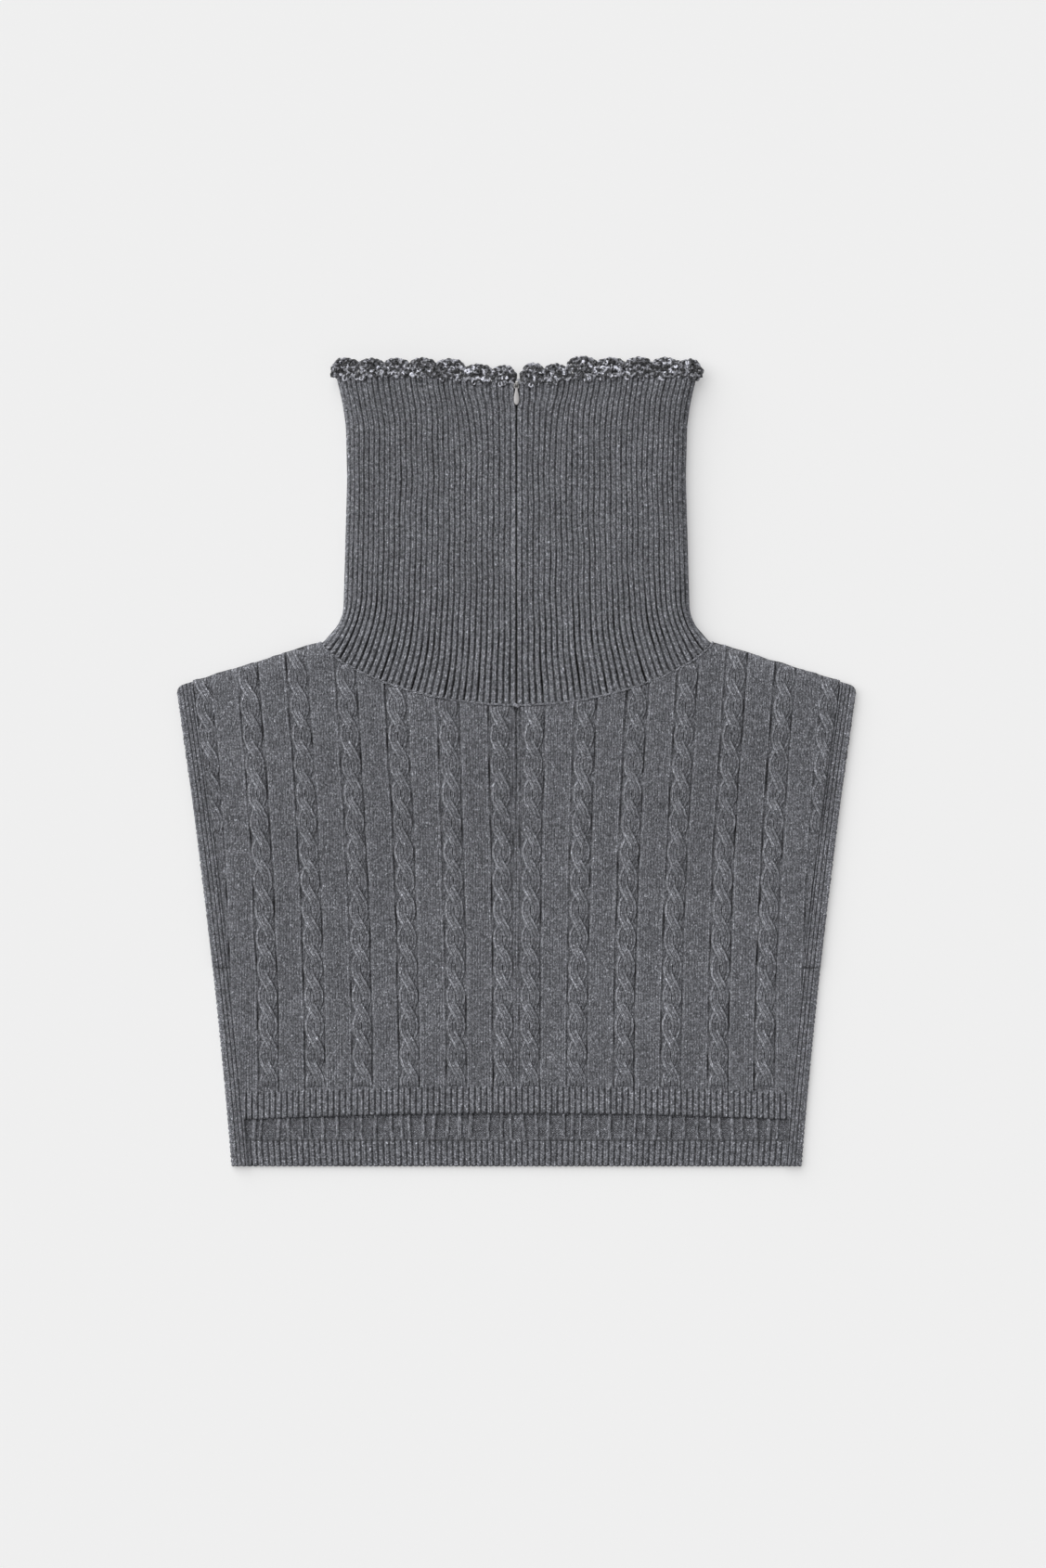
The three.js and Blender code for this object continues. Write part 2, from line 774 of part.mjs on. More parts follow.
function zipTape() {
  const top = wallInside - restGap;
  const bottom = top - tapeThickness;
  const end = bridgeY + bridgeLength / 2 - sliderLength - restGap;
  const profile = new THREE.Shape();
  profile.moveTo(-tapeWidth / 2, top);
  profile.lineTo(-tapeWidth / 2, bottom);
  profile.lineTo(-coilWidth / 2, bottom);
  profile.lineTo(-coilWidth / 2, bottom - coilThickness);
  profile.lineTo(coilWidth / 2, bottom - coilThickness);
  profile.lineTo(coilWidth / 2, bottom);
  profile.lineTo(tapeWidth / 2, bottom);
  profile.lineTo(tapeWidth / 2, top);
  const geometry = new THREE.ExtrudeGeometry(profile, { depth: end - slitBottom, bevelEnabled: false });
  geometry.rotateX(Math.PI / 2);
  geometry.translate(0, end, 0);
  return mesh("zip_tape", geometry, tapeFinish);
}

// The slider's bridge stands up through the slit, with an eye for the pull's pin
const eyeHalf = pinRadius + (eyeHeight - 2 * pinRadius) / 2;

function zipSlider() {
  const plateTop = wallInside - restGap;
  const plate = box(sliderWidth, sliderLength, sliderPlate);
  plate.translate(0, bridgeY + bridgeLength / 2 - sliderLength / 2, plateTop - sliderPlate / 2);
  const bridgeTop = pivotZ + eyeHalf + bridgeBar;
  const half = eyeHalf + bridgeBar;
  const side = new THREE.Shape();
  side.moveTo(-half, plateTop - sliderPlate / 2);
  side.lineTo(half, plateTop - sliderPlate / 2);
  side.lineTo(half, bridgeTop - half * 0.5);
  side.quadraticCurveTo(half, bridgeTop, half * 0.4, bridgeTop);
  side.lineTo(-half * 0.4, bridgeTop);
  side.quadraticCurveTo(-half, bridgeTop, -half, bridgeTop - half * 0.5);
  const eye = new THREE.Path();
  eye.absarc(0, pivotZ, eyeHalf, 0, 2 * Math.PI, false);
  side.holes.push(eye);
  const bridge = new THREE.ExtrudeGeometry(side, {
    depth: bridgeWidth, bevelEnabled: false, curveSegments: 6,
  });
  bridge.translate(0, 0, -bridgeWidth / 2);
  bridge.applyMatrix4(new THREE.Matrix4().makeBasis(
    new THREE.Vector3(0, 1, 0), new THREE.Vector3(0, 0, 1), new THREE.Vector3(1, 0, 0)));
  bridge.translate(0, bridgeY, 0);
  return mesh("zip_slider", joined([plate, bridge]), steel);
}

function zipPull() {
  const ringInner = bridgeWidth / 2 + restGap;
  const ringOuter = ringInner + ringBar;
  const ringEnd = Math.hypot(eyeHalf + bridgeBar, eyeHalf + bridgeBar) + restGap;
  const waist = ringEnd + ringBar;
  const drop = pullLength - waist;
  const outline = new THREE.Shape();
  outline.moveTo(-ringOuter, pinRadius);
  outline.lineTo(-ringOuter, -waist);
  outline.quadraticCurveTo(-ringOuter * 0.55, -waist - drop * 0.1, -pullWidth * 0.36, -waist - drop * 0.2);
  outline.quadraticCurveTo(-pullWidth * 0.6, -waist - drop * 0.75, -pullWidth * 0.2, -pullLength);
  outline.lineTo(pullWidth * 0.2, -pullLength);
  outline.quadraticCurveTo(pullWidth * 0.6, -waist - drop * 0.75, pullWidth * 0.36, -waist - drop * 0.2);
  outline.quadraticCurveTo(ringOuter * 0.55, -waist - drop * 0.1, ringOuter, -waist);
  outline.lineTo(ringOuter, pinRadius);
  const hole = new THREE.Path();
  hole.moveTo(-ringInner, -pinRadius);
  hole.lineTo(ringInner, -pinRadius);
  hole.lineTo(ringInner, -ringEnd);
  hole.lineTo(-ringInner, -ringEnd);
  outline.holes.push(hole);
  const geometry = new THREE.ExtrudeGeometry(outline, {
    depth: pullThickness, bevelEnabled: false, curveSegments: 5,
  });
  geometry.translate(0, 0, -pullThickness / 2);
  const pull = mesh("zip_pull", geometry, enamel);
  pull.position.set(0, bridgeY, pivotZ);
  return pull;
}

const dickey = new THREE.Group();
dickey.add(
  collar(),
  frill(),
  frontPanel(),
  backPanel(),
  armholeBorder("armhole_border_right", 1),
  armholeBorder("armhole_border_left", -1),
  zipTape(),
  zipSlider(),
  zipPull(),
);

// The origin is on the floor, at the middle of the whole piece
const bounds = new THREE.Box3().setFromObject(dickey);
const centre = bounds.getCenter(new THREE.Vector3());
dickey.position.set(-centre.x, -centre.y, -bounds.min.z);

export default dickey;
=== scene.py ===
# %% [markdown]
# A cable-knit dickey with a zipped turtleneck, lying flat on a pale table.
# The solids of the part come first. They give every size, and the looks are built over them.
# All the lengths below are in millimetres, with Y measured up from the back hem, as a knitter
# would lay the piece out. One helper turns them into the metres of the part's own frame.

import bmesh
import bpy
import numpy as np
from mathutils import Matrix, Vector


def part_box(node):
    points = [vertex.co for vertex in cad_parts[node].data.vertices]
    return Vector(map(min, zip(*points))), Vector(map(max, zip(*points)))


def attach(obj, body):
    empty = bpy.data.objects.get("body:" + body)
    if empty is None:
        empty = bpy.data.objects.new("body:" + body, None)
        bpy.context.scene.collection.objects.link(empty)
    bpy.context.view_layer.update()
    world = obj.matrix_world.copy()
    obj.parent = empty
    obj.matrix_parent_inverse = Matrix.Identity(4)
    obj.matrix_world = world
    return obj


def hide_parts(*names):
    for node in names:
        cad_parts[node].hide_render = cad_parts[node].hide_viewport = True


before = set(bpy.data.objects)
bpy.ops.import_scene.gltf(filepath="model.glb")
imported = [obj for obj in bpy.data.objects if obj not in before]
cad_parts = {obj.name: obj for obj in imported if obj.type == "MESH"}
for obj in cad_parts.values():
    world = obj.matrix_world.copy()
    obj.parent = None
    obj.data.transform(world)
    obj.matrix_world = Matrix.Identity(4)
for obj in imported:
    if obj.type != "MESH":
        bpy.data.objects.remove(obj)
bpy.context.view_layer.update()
hem_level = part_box("back_panel")[0].y
print("frame loaded:", sorted(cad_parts))


# %% [markdown]
# Small helpers for blending numbers. `rounding` is a quarter circle: it rises steeply at an edge
# and levels out one radius in, which is how a folded edge of knitting looks from the side.

# %% Blends
def lerp(a, b, share):
    return a + (b - a) * share


def smooth(share):
    share = np.clip(share, 0, 1)
    return share * share * (3 - 2 * share)


def rounding(share):
    rest = 1 - np.clip(share, 0, 1)
    return np.sqrt(1 - rest * rest)


def bell(distance, width):
    return np.exp(-((distance / width) ** 2))


DRIFT_WAVES = 7
DRIFT_SCALE = 2.6


# Wanders between about -1 and 1 over `size` millimetres, the same way at every run
def drift(x, y, size, seed):
    rng = np.random.default_rng(seed)
    total = 0.0
    for _ in range(DRIFT_WAVES):
        angle = rng.uniform(0, 2 * np.pi)
        pace = 2 * np.pi / size * rng.uniform(0.6, 1.5)
        across, along = pace * np.cos(angle), pace * np.sin(angle)
        total = total + np.sin(across * x + along * y + rng.uniform(0, 2 * np.pi))
    return total / DRIFT_SCALE


# %% [markdown]
# The cut of the garment, seen from above. The body is a trapezium with sloping shoulders, the neck
# seam hangs between two neck points, and the collar stands on it. A pattern cutter would draw these
# lines first, and every piece of knitting below is laid between them.

# %% Outline of the body
SHOULDER_HALF = 191.0
HEM_HALF = 160.0
BODY_LENGTH = 269.0
SHOULDER_RISE = 25.0
SIDE_HOLLOW = 2.3
CORNER = 4.0
CORNER_FALL = 0.7
NECK_HALF = 110.0
NECK_LEVEL = BODY_LENGTH + SHOULDER_RISE
FRONT_DROP = 35.5
BACK_DROP = 10.0
NECK_CURVE = 0.75
SEAM_GAP = -0.15


def side_x(y):
    share = np.clip(y / BODY_LENGTH, 0, 1)
    return lerp(HEM_HALF, SHOULDER_HALF, share) - SIDE_HOLLOW * 4 * share * (1 - share)


def shoulder_y(x):
    share = np.clip((np.abs(x) - NECK_HALF) / (SHOULDER_HALF - NECK_HALF), 0, 1)
    corner = np.clip((np.abs(x) - SHOULDER_HALF + CORNER) / CORNER, 0, 1)
    return NECK_LEVEL - share * SHOULDER_RISE - corner**2 * CORNER * CORNER_FALL


def panel_top(x, drop):
    half = NECK_HALF + SEAM_GAP
    share = np.clip(np.abs(x) / half, 0, 1)
    neck = NECK_LEVEL - (drop + SEAM_GAP) * (1 - share**2) ** NECK_CURVE
    return np.where(np.abs(x) < half, neck, shoulder_y(x))


# %% Neck seam, at even steps of its own length
def seam_track(drop):
    angle = np.linspace(0, np.pi / 2, 400)
    x = NECK_HALF * np.sin(angle)
    y = NECK_LEVEL - drop * np.maximum(np.cos(angle), 0) ** (2 * NECK_CURVE)
    length = np.concatenate([[0], np.cumsum(np.hypot(np.diff(x), np.diff(y)))])
    return length / length[-1], x, y, length[-1]


FRONT_SEAM = seam_track(FRONT_DROP)
BACK_SEAM = seam_track(BACK_DROP)
print("front half of the neck seam:", round(FRONT_SEAM[3], 1), "mm each side")

# %% Outline of the collar
COLLAR_HALF = 95.75
COLLAR_HEIGHT = 148.5
COLLAR_TOP = NECK_LEVEL + COLLAR_HEIGHT
NEAR_DIP = 3.6
FAR_DIP = 13.0
CROWDING = 0.505
FAN_MIDDLE = 56.0
FAN_FOLD = 20.0
COLLAR_UPS = np.linspace(-0.2, 1.2, 281)
WIDTH_UPS = [0, 0.30, 0.62, 0.82, 0.91, 1]
WIDTH_SHARES = [1.03, 1.014, 1, 1.008, 1.03, 1.064]
COLLAR_WIDTHS = np.interp(COLLAR_UPS, WIDTH_UPS, WIDTH_SHARES)
COLLAR_WIDTHS = np.convolve(np.pad(COLLAR_WIDTHS, 8, "edge"), np.hanning(19)[1:-1] / 9.0, "valid")


def collar_half_at(y):
    return COLLAR_HALF * np.interp((y - NECK_LEVEL) / COLLAR_HEIGHT, COLLAR_UPS, COLLAR_WIDTHS)


# The collar's top edge, which dips in the middle of both layers
def top_edge(across, near):
    dip, span = (NEAR_DIP, 0.5) if near else (FAR_DIP, 0.85)
    return COLLAR_TOP - dip * np.maximum(0, 1 - (across / span) ** 2) ** 2


# Across is 0 at the middle and 1 at the fold, up is 0 at the seam and 1 at the top edge
def collar_place(across, up, near=True):
    share, seam_x, seam_y, _ = FRONT_SEAM if near else BACK_SEAM
    start_x = np.interp(across, share, seam_x)
    start_y = np.interp(across, share, seam_y)
    y = lerp(start_y, top_edge(across, near), up)
    column = collar_half_at(y) * np.sin(CROWDING * across) / np.sin(CROWDING)
    fan = lerp(FAN_MIDDLE, FAN_FOLD, across**6)
    left = 1 - np.clip((y - start_y) / fan, 0, 1)
    return column + (start_x - column) * left**2.2, y


print("top edge of the collar:", COLLAR_TOP, "mm above the hem")

# %% [markdown]
# The garment is a tube pressed flat, so two layers lie on each other. Round the neck the upper layer
# stands about 6 mm clear of the lower one, and it comes down at the folds, the armholes and the hem.
# Cloth simulation could settle the layers, but the lie is so plain that a height worked out from the
# distance to the outline gives the same shape at once, and it repeats exactly.

# %% How high the upper layer lies
COLLAR_WALL = 2.0
PANEL_WALL = 1.7
NEAR_BASE = 2.5
FOLD_LEVEL = 2.25
FOLD_RADIUS = 4.0
OPEN_GAP = 6.0
OPEN_REACH = 100.0
OPEN_EDGE = 12.0
EDGE_THINNING = 0.45

rise = np.linspace(0, BODY_LENGTH, 14)
edge_x, edge_y = collar_place(np.ones(25), np.linspace(0, 1, 25) ** 1.5)
OUTLINE = np.column_stack([np.append(side_x(rise), edge_x), np.append(rise, edge_y)])


def edge_distance(x, y):
    x, y = np.broadcast_arrays(np.abs(x), y)
    least = np.full(x.shape, np.inf)
    for (ax, ay), (bx, by) in zip(OUTLINE[:-1], OUTLINE[1:]):
        run_x, run_y = bx - ax, by - ay
        share = np.clip(((x - ax) * run_x + (y - ay) * run_y) / (run_x**2 + run_y**2), 0, 1)
        least = np.minimum(least, np.hypot(ax + share * run_x - x, ay + share * run_y - y))
    return least


def near_inner(x, y, edge=None):
    edge = edge_distance(x, y) if edge is None else edge
    aside = np.maximum(np.abs(x) - COLLAR_HALF, 0)
    below = np.maximum(NECK_LEVEL - FRONT_DROP - 10 - y, 0)
    opened = 1 - smooth(np.hypot(aside, below) / OPEN_REACH)
    return NEAR_BASE + OPEN_GAP * opened * rounding(edge / OPEN_EDGE)


def near_outer(x, y):
    edge = edge_distance(x, y)
    wall = PANEL_WALL * lerp(EDGE_THINNING, 1, rounding(edge / FOLD_RADIUS))
    return near_inner(x, y, edge) + wall


print("upper layer at the neck:", round(float(near_inner(0.0, 300.0)), 2), "mm above the table")


# %% [markdown]
# A piece of knitting is a dense grid with a plain grid as its lining. This small builder collects
# points and faces, keeps for each face corner where it lies in the knitting, counted in wales
# (stitches across) and courses (rows up), and closes the shell along its rims. Modelling tools
# could unwrap the cloth instead, but counting stitches keeps every loop the right size.

# %% Builder for knitted shells
class Knitting:
    def __init__(self, name):
        self.name = name
        self.points, self.home, self.purl, self.depth = [], [], [], []
        self.faces, self.corners = [], []
        self.count = 0

    # Adds a grid of points. Stitches holds the wale and the course of each one. Depth is not relief but
    # painted light: painted shade above 0 and a painted highlight below 0.
    def lay(self, points, stitches, purl=0.0, depth=0.0):
        shape = points.shape[:-1]
        total = int(np.prod(shape))
        self.points.append(points.reshape(total, 3))
        self.home.append(np.broadcast_to(stitches, shape + (2,)).reshape(total, 2))
        self.purl.append(np.broadcast_to(purl, shape).reshape(total))
        self.depth.append(np.broadcast_to(depth, shape).reshape(total))
        index = self.count + np.arange(total).reshape(shape)
        self.count += total
        return index

    # Faces over a grid of points that is laid already
    def skin(self, index, stitches=None):
        quads = np.stack([index[:-1, :-1], index[:-1, 1:], index[1:, 1:], index[1:, :-1]], axis=-1)
        self.faces.extend(quads.reshape(-1, 4).tolist())
        if stitches is None:
            self.corners.append((quads.reshape(-1), None))
        else:
            spots = [stitches[:-1, :-1], stitches[:-1, 1:], stitches[1:, 1:], stitches[1:, :-1]]
            self.corners.append((None, np.stack(spots, axis=2).reshape(-1, 2)))

    # Triangles between two edges that may have different numbers of points
    def hem(self, first, second):
        share_a = np.linspace(0, 1, len(first))
        share_b = np.linspace(0, 1, len(second))
        a = b = 0
        made = []
        while a < len(first) - 1 or b < len(second) - 1:
            next_a = share_a[a + 1] if a < len(first) - 1 else 9.0
            next_b = share_b[b + 1] if b < len(second) - 1 else 9.0
            if next_a <= next_b:
                made.append([int(first[a]), int(first[a + 1]), int(second[b])])
                a += 1
            else:
                made.append([int(second[b + 1]), int(second[b]), int(first[a])])
                b += 1
        self.faces.extend(made)
        self.corners.append((np.array(made).reshape(-1), None))

    # Closes a shell between the four rims of its grid and of its lining
    def close(self, outer, inner):
        for rim in (np.s_[0], np.s_[-1], np.s_[:, 0], np.s_[:, -1]):
            self.hem(outer[rim], inner[rim])

    def cap(self, ring):
        self.faces.append(ring.tolist())
        self.corners.append((np.array(ring), None))

    # A row of rings with a skin round them and a cap at both ends
    def tube(self, rings, stitches, purl=0.0, depth=0.0):
        index = self.lay(rings, stitches, purl, depth)
        self.skin(np.concatenate([index, index[:, :1]], axis=1))
        self.cap(index[0])
        self.cap(index[-1])

    # Makes the mesh, in metres, and puts it on its body. Loose yarn keeps the normals it was laid with.
    def piece(self, material, body="root", sort_normals=True):
        points = np.concatenate(self.points) * 0.001
        points[:, 1] += hem_level
        points[:, 2] = np.maximum(points[:, 2], 0.00002)
        home = np.concatenate(self.home)
        mesh = bpy.data.meshes.new(self.name)
        mesh.from_pydata(points.tolist(), [], self.faces)
        places = [home[i] if s is None else s for i, s in self.corners]
        mesh.uv_layers.new(name="stitches").data.foreach_set("uv", np.concatenate(places).ravel())
        # The depth layer carries the painted shade and painted highlight that the materials multiply
        # into the colour
        for label, values in (("purl", self.purl), ("depth", self.depth)):
            layer = mesh.attributes.new(label, "FLOAT", "POINT")
            layer.data.foreach_set("value", np.concatenate(values).astype(np.float32))
        mesh.polygons.foreach_set("use_smooth", np.ones(len(mesh.polygons), bool))
        if sort_normals:
            shell = bmesh.new()
            shell.from_mesh(mesh)
            bmesh.ops.recalc_face_normals(shell, faces=shell.faces)
            shell.to_mesh(mesh)
            shell.free()
        mesh.materials.append(material)
        thing = bpy.data.objects.new(self.name, mesh)
        bpy.context.scene.collection.objects.link(thing)
        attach(thing, body)
        triangles = sum(len(face) - 2 for face in self.faces)
        print(f"{self.name}: {triangles} triangles")
        return thing


# %% [markdown]
# Ribs and wales are real relief, pushed in along the cloth's own normal, so that they also follow
# the folds. A normal map could fake them, but their shadows are what the eye reads as ribbing.

# %% Relief along the normal
def sunk(points, depth):
    along = np.gradient(points, axis=1)
    up = np.gradient(points, axis=0)
    normal = np.cross(along, up)
    normal /= np.maximum(np.linalg.norm(normal, axis=-1, keepdims=True), 1e-9)
    return points - normal * depth[..., None]


# 1 in the ditch between two ribs or wales, and 0 on them
def between(rib, width):
    within = rib % 1
    return bell(np.minimum(within, 1 - within), width)


# How deep a point lies in a single wale: its two legs stand up, its sides and middle are lower
def wale_depth(wale):
    within = wale - np.floor(wale)
    return 0.30 * bell(np.minimum(within, 1 - within), 0.13) + 0.10 * bell(within - 0.5, 0.10)


# One rib of one-and-one ribbing: a broad raised wale with a narrow deep ditch on both sides
def rib_depth(rib, ditch=1.0, width=0.20):
    within = rib - np.floor(rib)
    side = np.minimum(within, 1 - within)
    return ditch * bell(side, width) + 0.16 * bell(within - 0.5, 0.09)


# Painted shade of a ribbed hem, dark in its ditches with a painted highlight on each rib's middle,
# and the small waves that the ribs give to its edge
def hem_shade(rib, rib_ditch):
    return 1.1 * rib_ditch - 0.2 * bell(rib % 1 - 0.5, 0.24)


def wave_edge(points, rib_ditch, from_hem):
    points[..., 1] -= 0.45 * (1 - rib_ditch) * np.clip(1 - from_hem / 3, 0, 1)


# %% [markdown]
# The yarn is a cool dark grey wool blend, spun from light and dark fibres. Its material draws the
# stitches themselves: each wale is a column of V shapes, and each V is two slanting legs. Where the
# knitting shows its purl side, the loops lie across instead. An image of real knitting would repeat
# and has one scale, so the pattern is worked out from the wale and course of every point.

# %% Node helpers
class Nodes:
    def __init__(self, name):
        self.material = bpy.data.materials.new(name)
        self.material.use_nodes = True
        self.tree = self.material.node_tree
        self.shader = self.tree.nodes["Principled BSDF"]

    def add(self, kind, **settings):
        node = self.tree.nodes.new(kind)
        for key, value in settings.items():
            setattr(node, key, value)
        return node

    def link(self, source, target):
        if hasattr(source, "node"):
            self.tree.links.new(source, target)
        else:
            target.default_value = source

    # The numbers of a vector one by one, and a vector made of two numbers
    def split(self, vector):
        node = self.add("ShaderNodeSeparateXYZ")
        self.link(vector, node.inputs[0])
        return node.outputs

    def join(self, first, second):
        node = self.add("ShaderNodeCombineXYZ")
        self.link(first, node.inputs[0])
        self.link(second, node.inputs[1])
        return node.outputs[0]

    # What the mesh knows of a point: its stitch, its place in the room and the numbers stored with it
    def stitches(self):
        return self.split(self.add("ShaderNodeUVMap", uv_map="stitches").outputs[0])

    def spot(self):
        return self.add("ShaderNodeTexCoord").outputs["Object"]

    def stored(self, label):
        return self.add("ShaderNodeAttribute", attribute_name=label).outputs["Fac"]

    def math(self, operation, first, second=0.5, third=0.5, clamp=False):
        node = self.add("ShaderNodeMath", operation=operation, use_clamp=clamp)
        for socket, value in zip(node.inputs, (first, second, third)):
            self.link(value, socket)
        return node.outputs[0]

    def total(self, first, *others):
        for other in others:
            first = self.math("ADD", first, other)
        return first

    # 0 at both ends of a step and 1 in its middle
    def hump(self, step):
        return self.math("MULTIPLY", self.math("MULTIPLY", step, self.math("SUBTRACT", 1.0, step)), 4.0)

    def ramp(self, value, low, high, to_low=0.0, to_high=1.0):
        node = self.add("ShaderNodeMapRange", interpolation_type="SMOOTHSTEP")
        for socket, given in zip(node.inputs, (value, low, high, to_low, to_high)):
            self.link(given, socket)
        return node.outputs[0]

    def noise(self, coordinates, scale, detail=2.0, rough=0.5):
        node = self.add("ShaderNodeTexNoise")
        self.link(coordinates, node.inputs["Vector"])
        node.inputs["Scale"].default_value = scale
        node.inputs["Detail"].default_value = detail
        node.inputs["Roughness"].default_value = rough
        return node.outputs["Fac"]

    # Swings `amount` in all round zero as the value goes from 0 to 1
    def sway(self, value, amount):
        return self.math("MULTIPLY_ADD", value, amount, -amount / 2)

    def tint(self, color, factor):
        node = self.add("ShaderNodeVectorMath", operation="SCALE")
        node.inputs[0].default_value = color[:3]
        self.link(factor, node.inputs["Scale"])
        self.link(node.outputs[0], self.shader.inputs["Base Color"])

    def bump(self, height, distance):
        node = self.add("ShaderNodeBump")
        node.inputs["Strength"].default_value = 1.0
        node.inputs["Distance"].default_value = distance
        self.link(height, node.inputs["Height"])
        self.link(node.outputs[0], self.shader.inputs["Normal"])

    def set(self, **values):
        for key, value in values.items():
            self.shader.inputs[key.replace("_", " ")].default_value = value


# %% Material of knitted yarn
# How much fibres, grain and patches lighten or darken the yarn, as powers of e
FIBRE_TONE = 3.8
GRAIN_TONE = 3.2
PATCH_TONE = 1.1
NEP_TONE = 0.60
CLOUD_TONE = 0.36
# How the legs of a stitch slant, how purl bars wave, how much painted shade falls between the legs,
# and how strong the painted light of the stored depth value is
LEG_SLANT = -1.5
BAR_WAVE = 0.24
LOOP_TONE = 0.60
LOOP_BASE = 0.66
PAINTED_LIGHT_TONE = 0.72


def knit_material(name, color, leg_tone, streak, relief=0.00036):
    n = Nodes(name)
    wale, course = n.stitches()[:2]
    purl, depth, spot = n.stored("purl"), n.stored("depth"), n.spot()
    tremble = n.math("MULTIPLY_ADD", n.noise(spot, 420.0, 1.0), 0.36, -0.18)
    course = n.math("ADD", course, tremble)
    side = n.math("ABSOLUTE", n.math("SUBTRACT", n.math("FRACT", wale), 0.5))
    across = n.math("MULTIPLY_ADD", side, 4.0, -1.0)
    leg = n.math("SUBTRACT", 1.0, n.math("MULTIPLY", across, across), clamp=True)
    slant = n.math("MULTIPLY_ADD", side, LEG_SLANT, course)
    bead = n.hump(n.math("FRACT", slant))
    knitted = n.math("MULTIPLY", n.math("POWER", leg, 0.6), n.math("MULTIPLY_ADD", bead, 0.6, 0.4))
    turn = n.math("SINE", n.math("MULTIPLY", wale, 2 * np.pi))
    purled = n.hump(n.math("FRACT", n.math("MULTIPLY_ADD", turn, BAR_WAVE, course)))
    mix = n.add("ShaderNodeMix", data_type="FLOAT")
    for socket, value in zip((mix.inputs[0], mix.inputs[2], mix.inputs[3]), (purl, knitted, purled)):
        n.link(value, socket)
    loop = mix.outputs[0]
    fine = n.noise(spot, 1150.0, 3.0, 0.75)
    n.bump(n.math("MULTIPLY_ADD", fine, 0.5, loop), relief)
    one_leg = n.join(n.math("FLOOR", n.math("MULTIPLY", wale, 2.0)), n.math("FLOOR", slant))
    chance = n.add("ShaderNodeTexWhiteNoise", noise_dimensions="2D")
    n.link(one_leg, chance.inputs["Vector"])
    along_leg = n.join(n.math("MULTIPLY", wale, 3.4), n.math("MULTIPLY", slant, streak))
    fibre = n.noise(along_leg, 1.0, 2.0, 0.6)
    patch = n.noise(spot, 330.0, 3.0, 0.6)
    neps = n.ramp(n.noise(spot, 800.0, 1.0, 0.5), 0.60, 0.72, 0.0, NEP_TONE)
    tone = n.total(n.sway(chance.outputs["Value"], leg_tone), n.sway(fibre, FIBRE_TONE),
                   n.sway(fine, GRAIN_TONE), n.sway(patch, PATCH_TONE), neps)
    cloud = n.math("MULTIPLY_ADD", n.noise(spot, 45.0, 3.0), CLOUD_TONE, 0.82)
    # Painted shade between the legs of each stitch, and painted light from the stored depth value:
    # painted shade in hollows, a painted highlight where it is below zero
    shade = n.math("MULTIPLY_ADD", loop, LOOP_TONE, LOOP_BASE)
    painted_light_factor = n.math("SUBTRACT", 1.0, n.math("MULTIPLY", depth, PAINTED_LIGHT_TONE))
    shade = n.math("MULTIPLY", shade, n.math("MULTIPLY", cloud, painted_light_factor))
    value = n.math("MULTIPLY", n.math("EXPONENT", tone), shade)
    n.tint(color, value)
    n.set(Roughness=0.86, Sheen_Weight=0.12, Sheen_Roughness=0.5, Specular_IOR_Level=0.25)
    return n.material


# %% The two yarns of the knitting
BODY_YARN = knit_material("grey_melange_knit", (0.197, 0.201, 0.221), 0.70, 1.3)
RIB_YARN = knit_material("grey_melange_rib", (0.185, 0.189, 0.207), 0.35, 0.75)

# %% [markdown]
# The collar is one-and-one ribbing: sixty-four ribs on the near side, knitted up from the neck seam.
# They fan out to meet the seam and crowd together at the folds, and where the frill above them
# sags they lean. A lattice or a cloth brush could bend the ribs, but two small sideways shifts
# in the grid do it with less fuss.

# %% Ribbed collar
COURSE = 1.3
COLLAR_RIBS = 32
SLIT_HALF = 0.05
SLIT_HALF_TOP = 0.95
SLIT_OPENS = 0.91
LEAN_REACH = 38.0
LEAN_WIDTH = 9.5


# Ribs lean towards the two places where the frill droops
def collar_lean(x, y):
    below = np.clip((COLLAR_TOP - y) / LEAN_REACH, 0, 1)
    left = -4.2 * bell(x + 25.5, LEAN_WIDTH)
    right = 3.8 * bell(x - 22.5, LEAN_WIDTH)
    return (left + right) * (1 - smooth(below))


# A grid from the slit round both folds and back. Turn is 0 at the slit, 1 at a fold and 2 at the
# middle of the far side, and side tells the right half from the left.
def collar_grid(rows, near_step, far_step):
    up = np.linspace(0, 1, rows)[:, None]
    near = np.linspace(0, 1, COLLAR_RIBS * near_step + 1)
    far = np.linspace(1, 2, COLLAR_RIBS * far_step + 1)[1:]
    right = np.concatenate([near, far])
    turn = np.concatenate([right, right[::-1][1:]])[None, :]
    side = np.concatenate([np.ones(len(right)), -np.ones(len(right) - 1)])[None, :]
    is_near = turn <= 1
    slit = lerp(SLIT_HALF, SLIT_HALF_TOP, smooth((up - SLIT_OPENS) / 0.05)) / COLLAR_HALF
    across = np.where(is_near, lerp(slit, 1.0, np.minimum(turn, 1)), np.clip(2 - turn, 0, 1))
    near_x, near_y = collar_place(across, up, True)
    far_x, far_y = collar_place(across, up, False)
    x = np.where(is_near, near_x, far_x)
    y = np.where(is_near, near_y, far_y)
    return up, turn, side, is_near, across, x, y


up, turn, side, is_near, across, x, y = collar_grid(112, 8, 4)
edge = edge_distance(x, y)
curl = rounding(edge / FOLD_RADIUS) * (across < 1)
near_z = lerp(FOLD_LEVEL, near_inner(x, y, edge) + COLLAR_WALL, curl)
z = np.where(is_near, near_z, FOLD_LEVEL * (1 - curl))
wander = 0.28 * drift(x * side, y, 38.0, 11) * smooth(edge / 12) * smooth(np.abs(x) / 6)
x = x * side + collar_lean(x * side, y) * is_near + wander
print("collar grid:", x.shape)

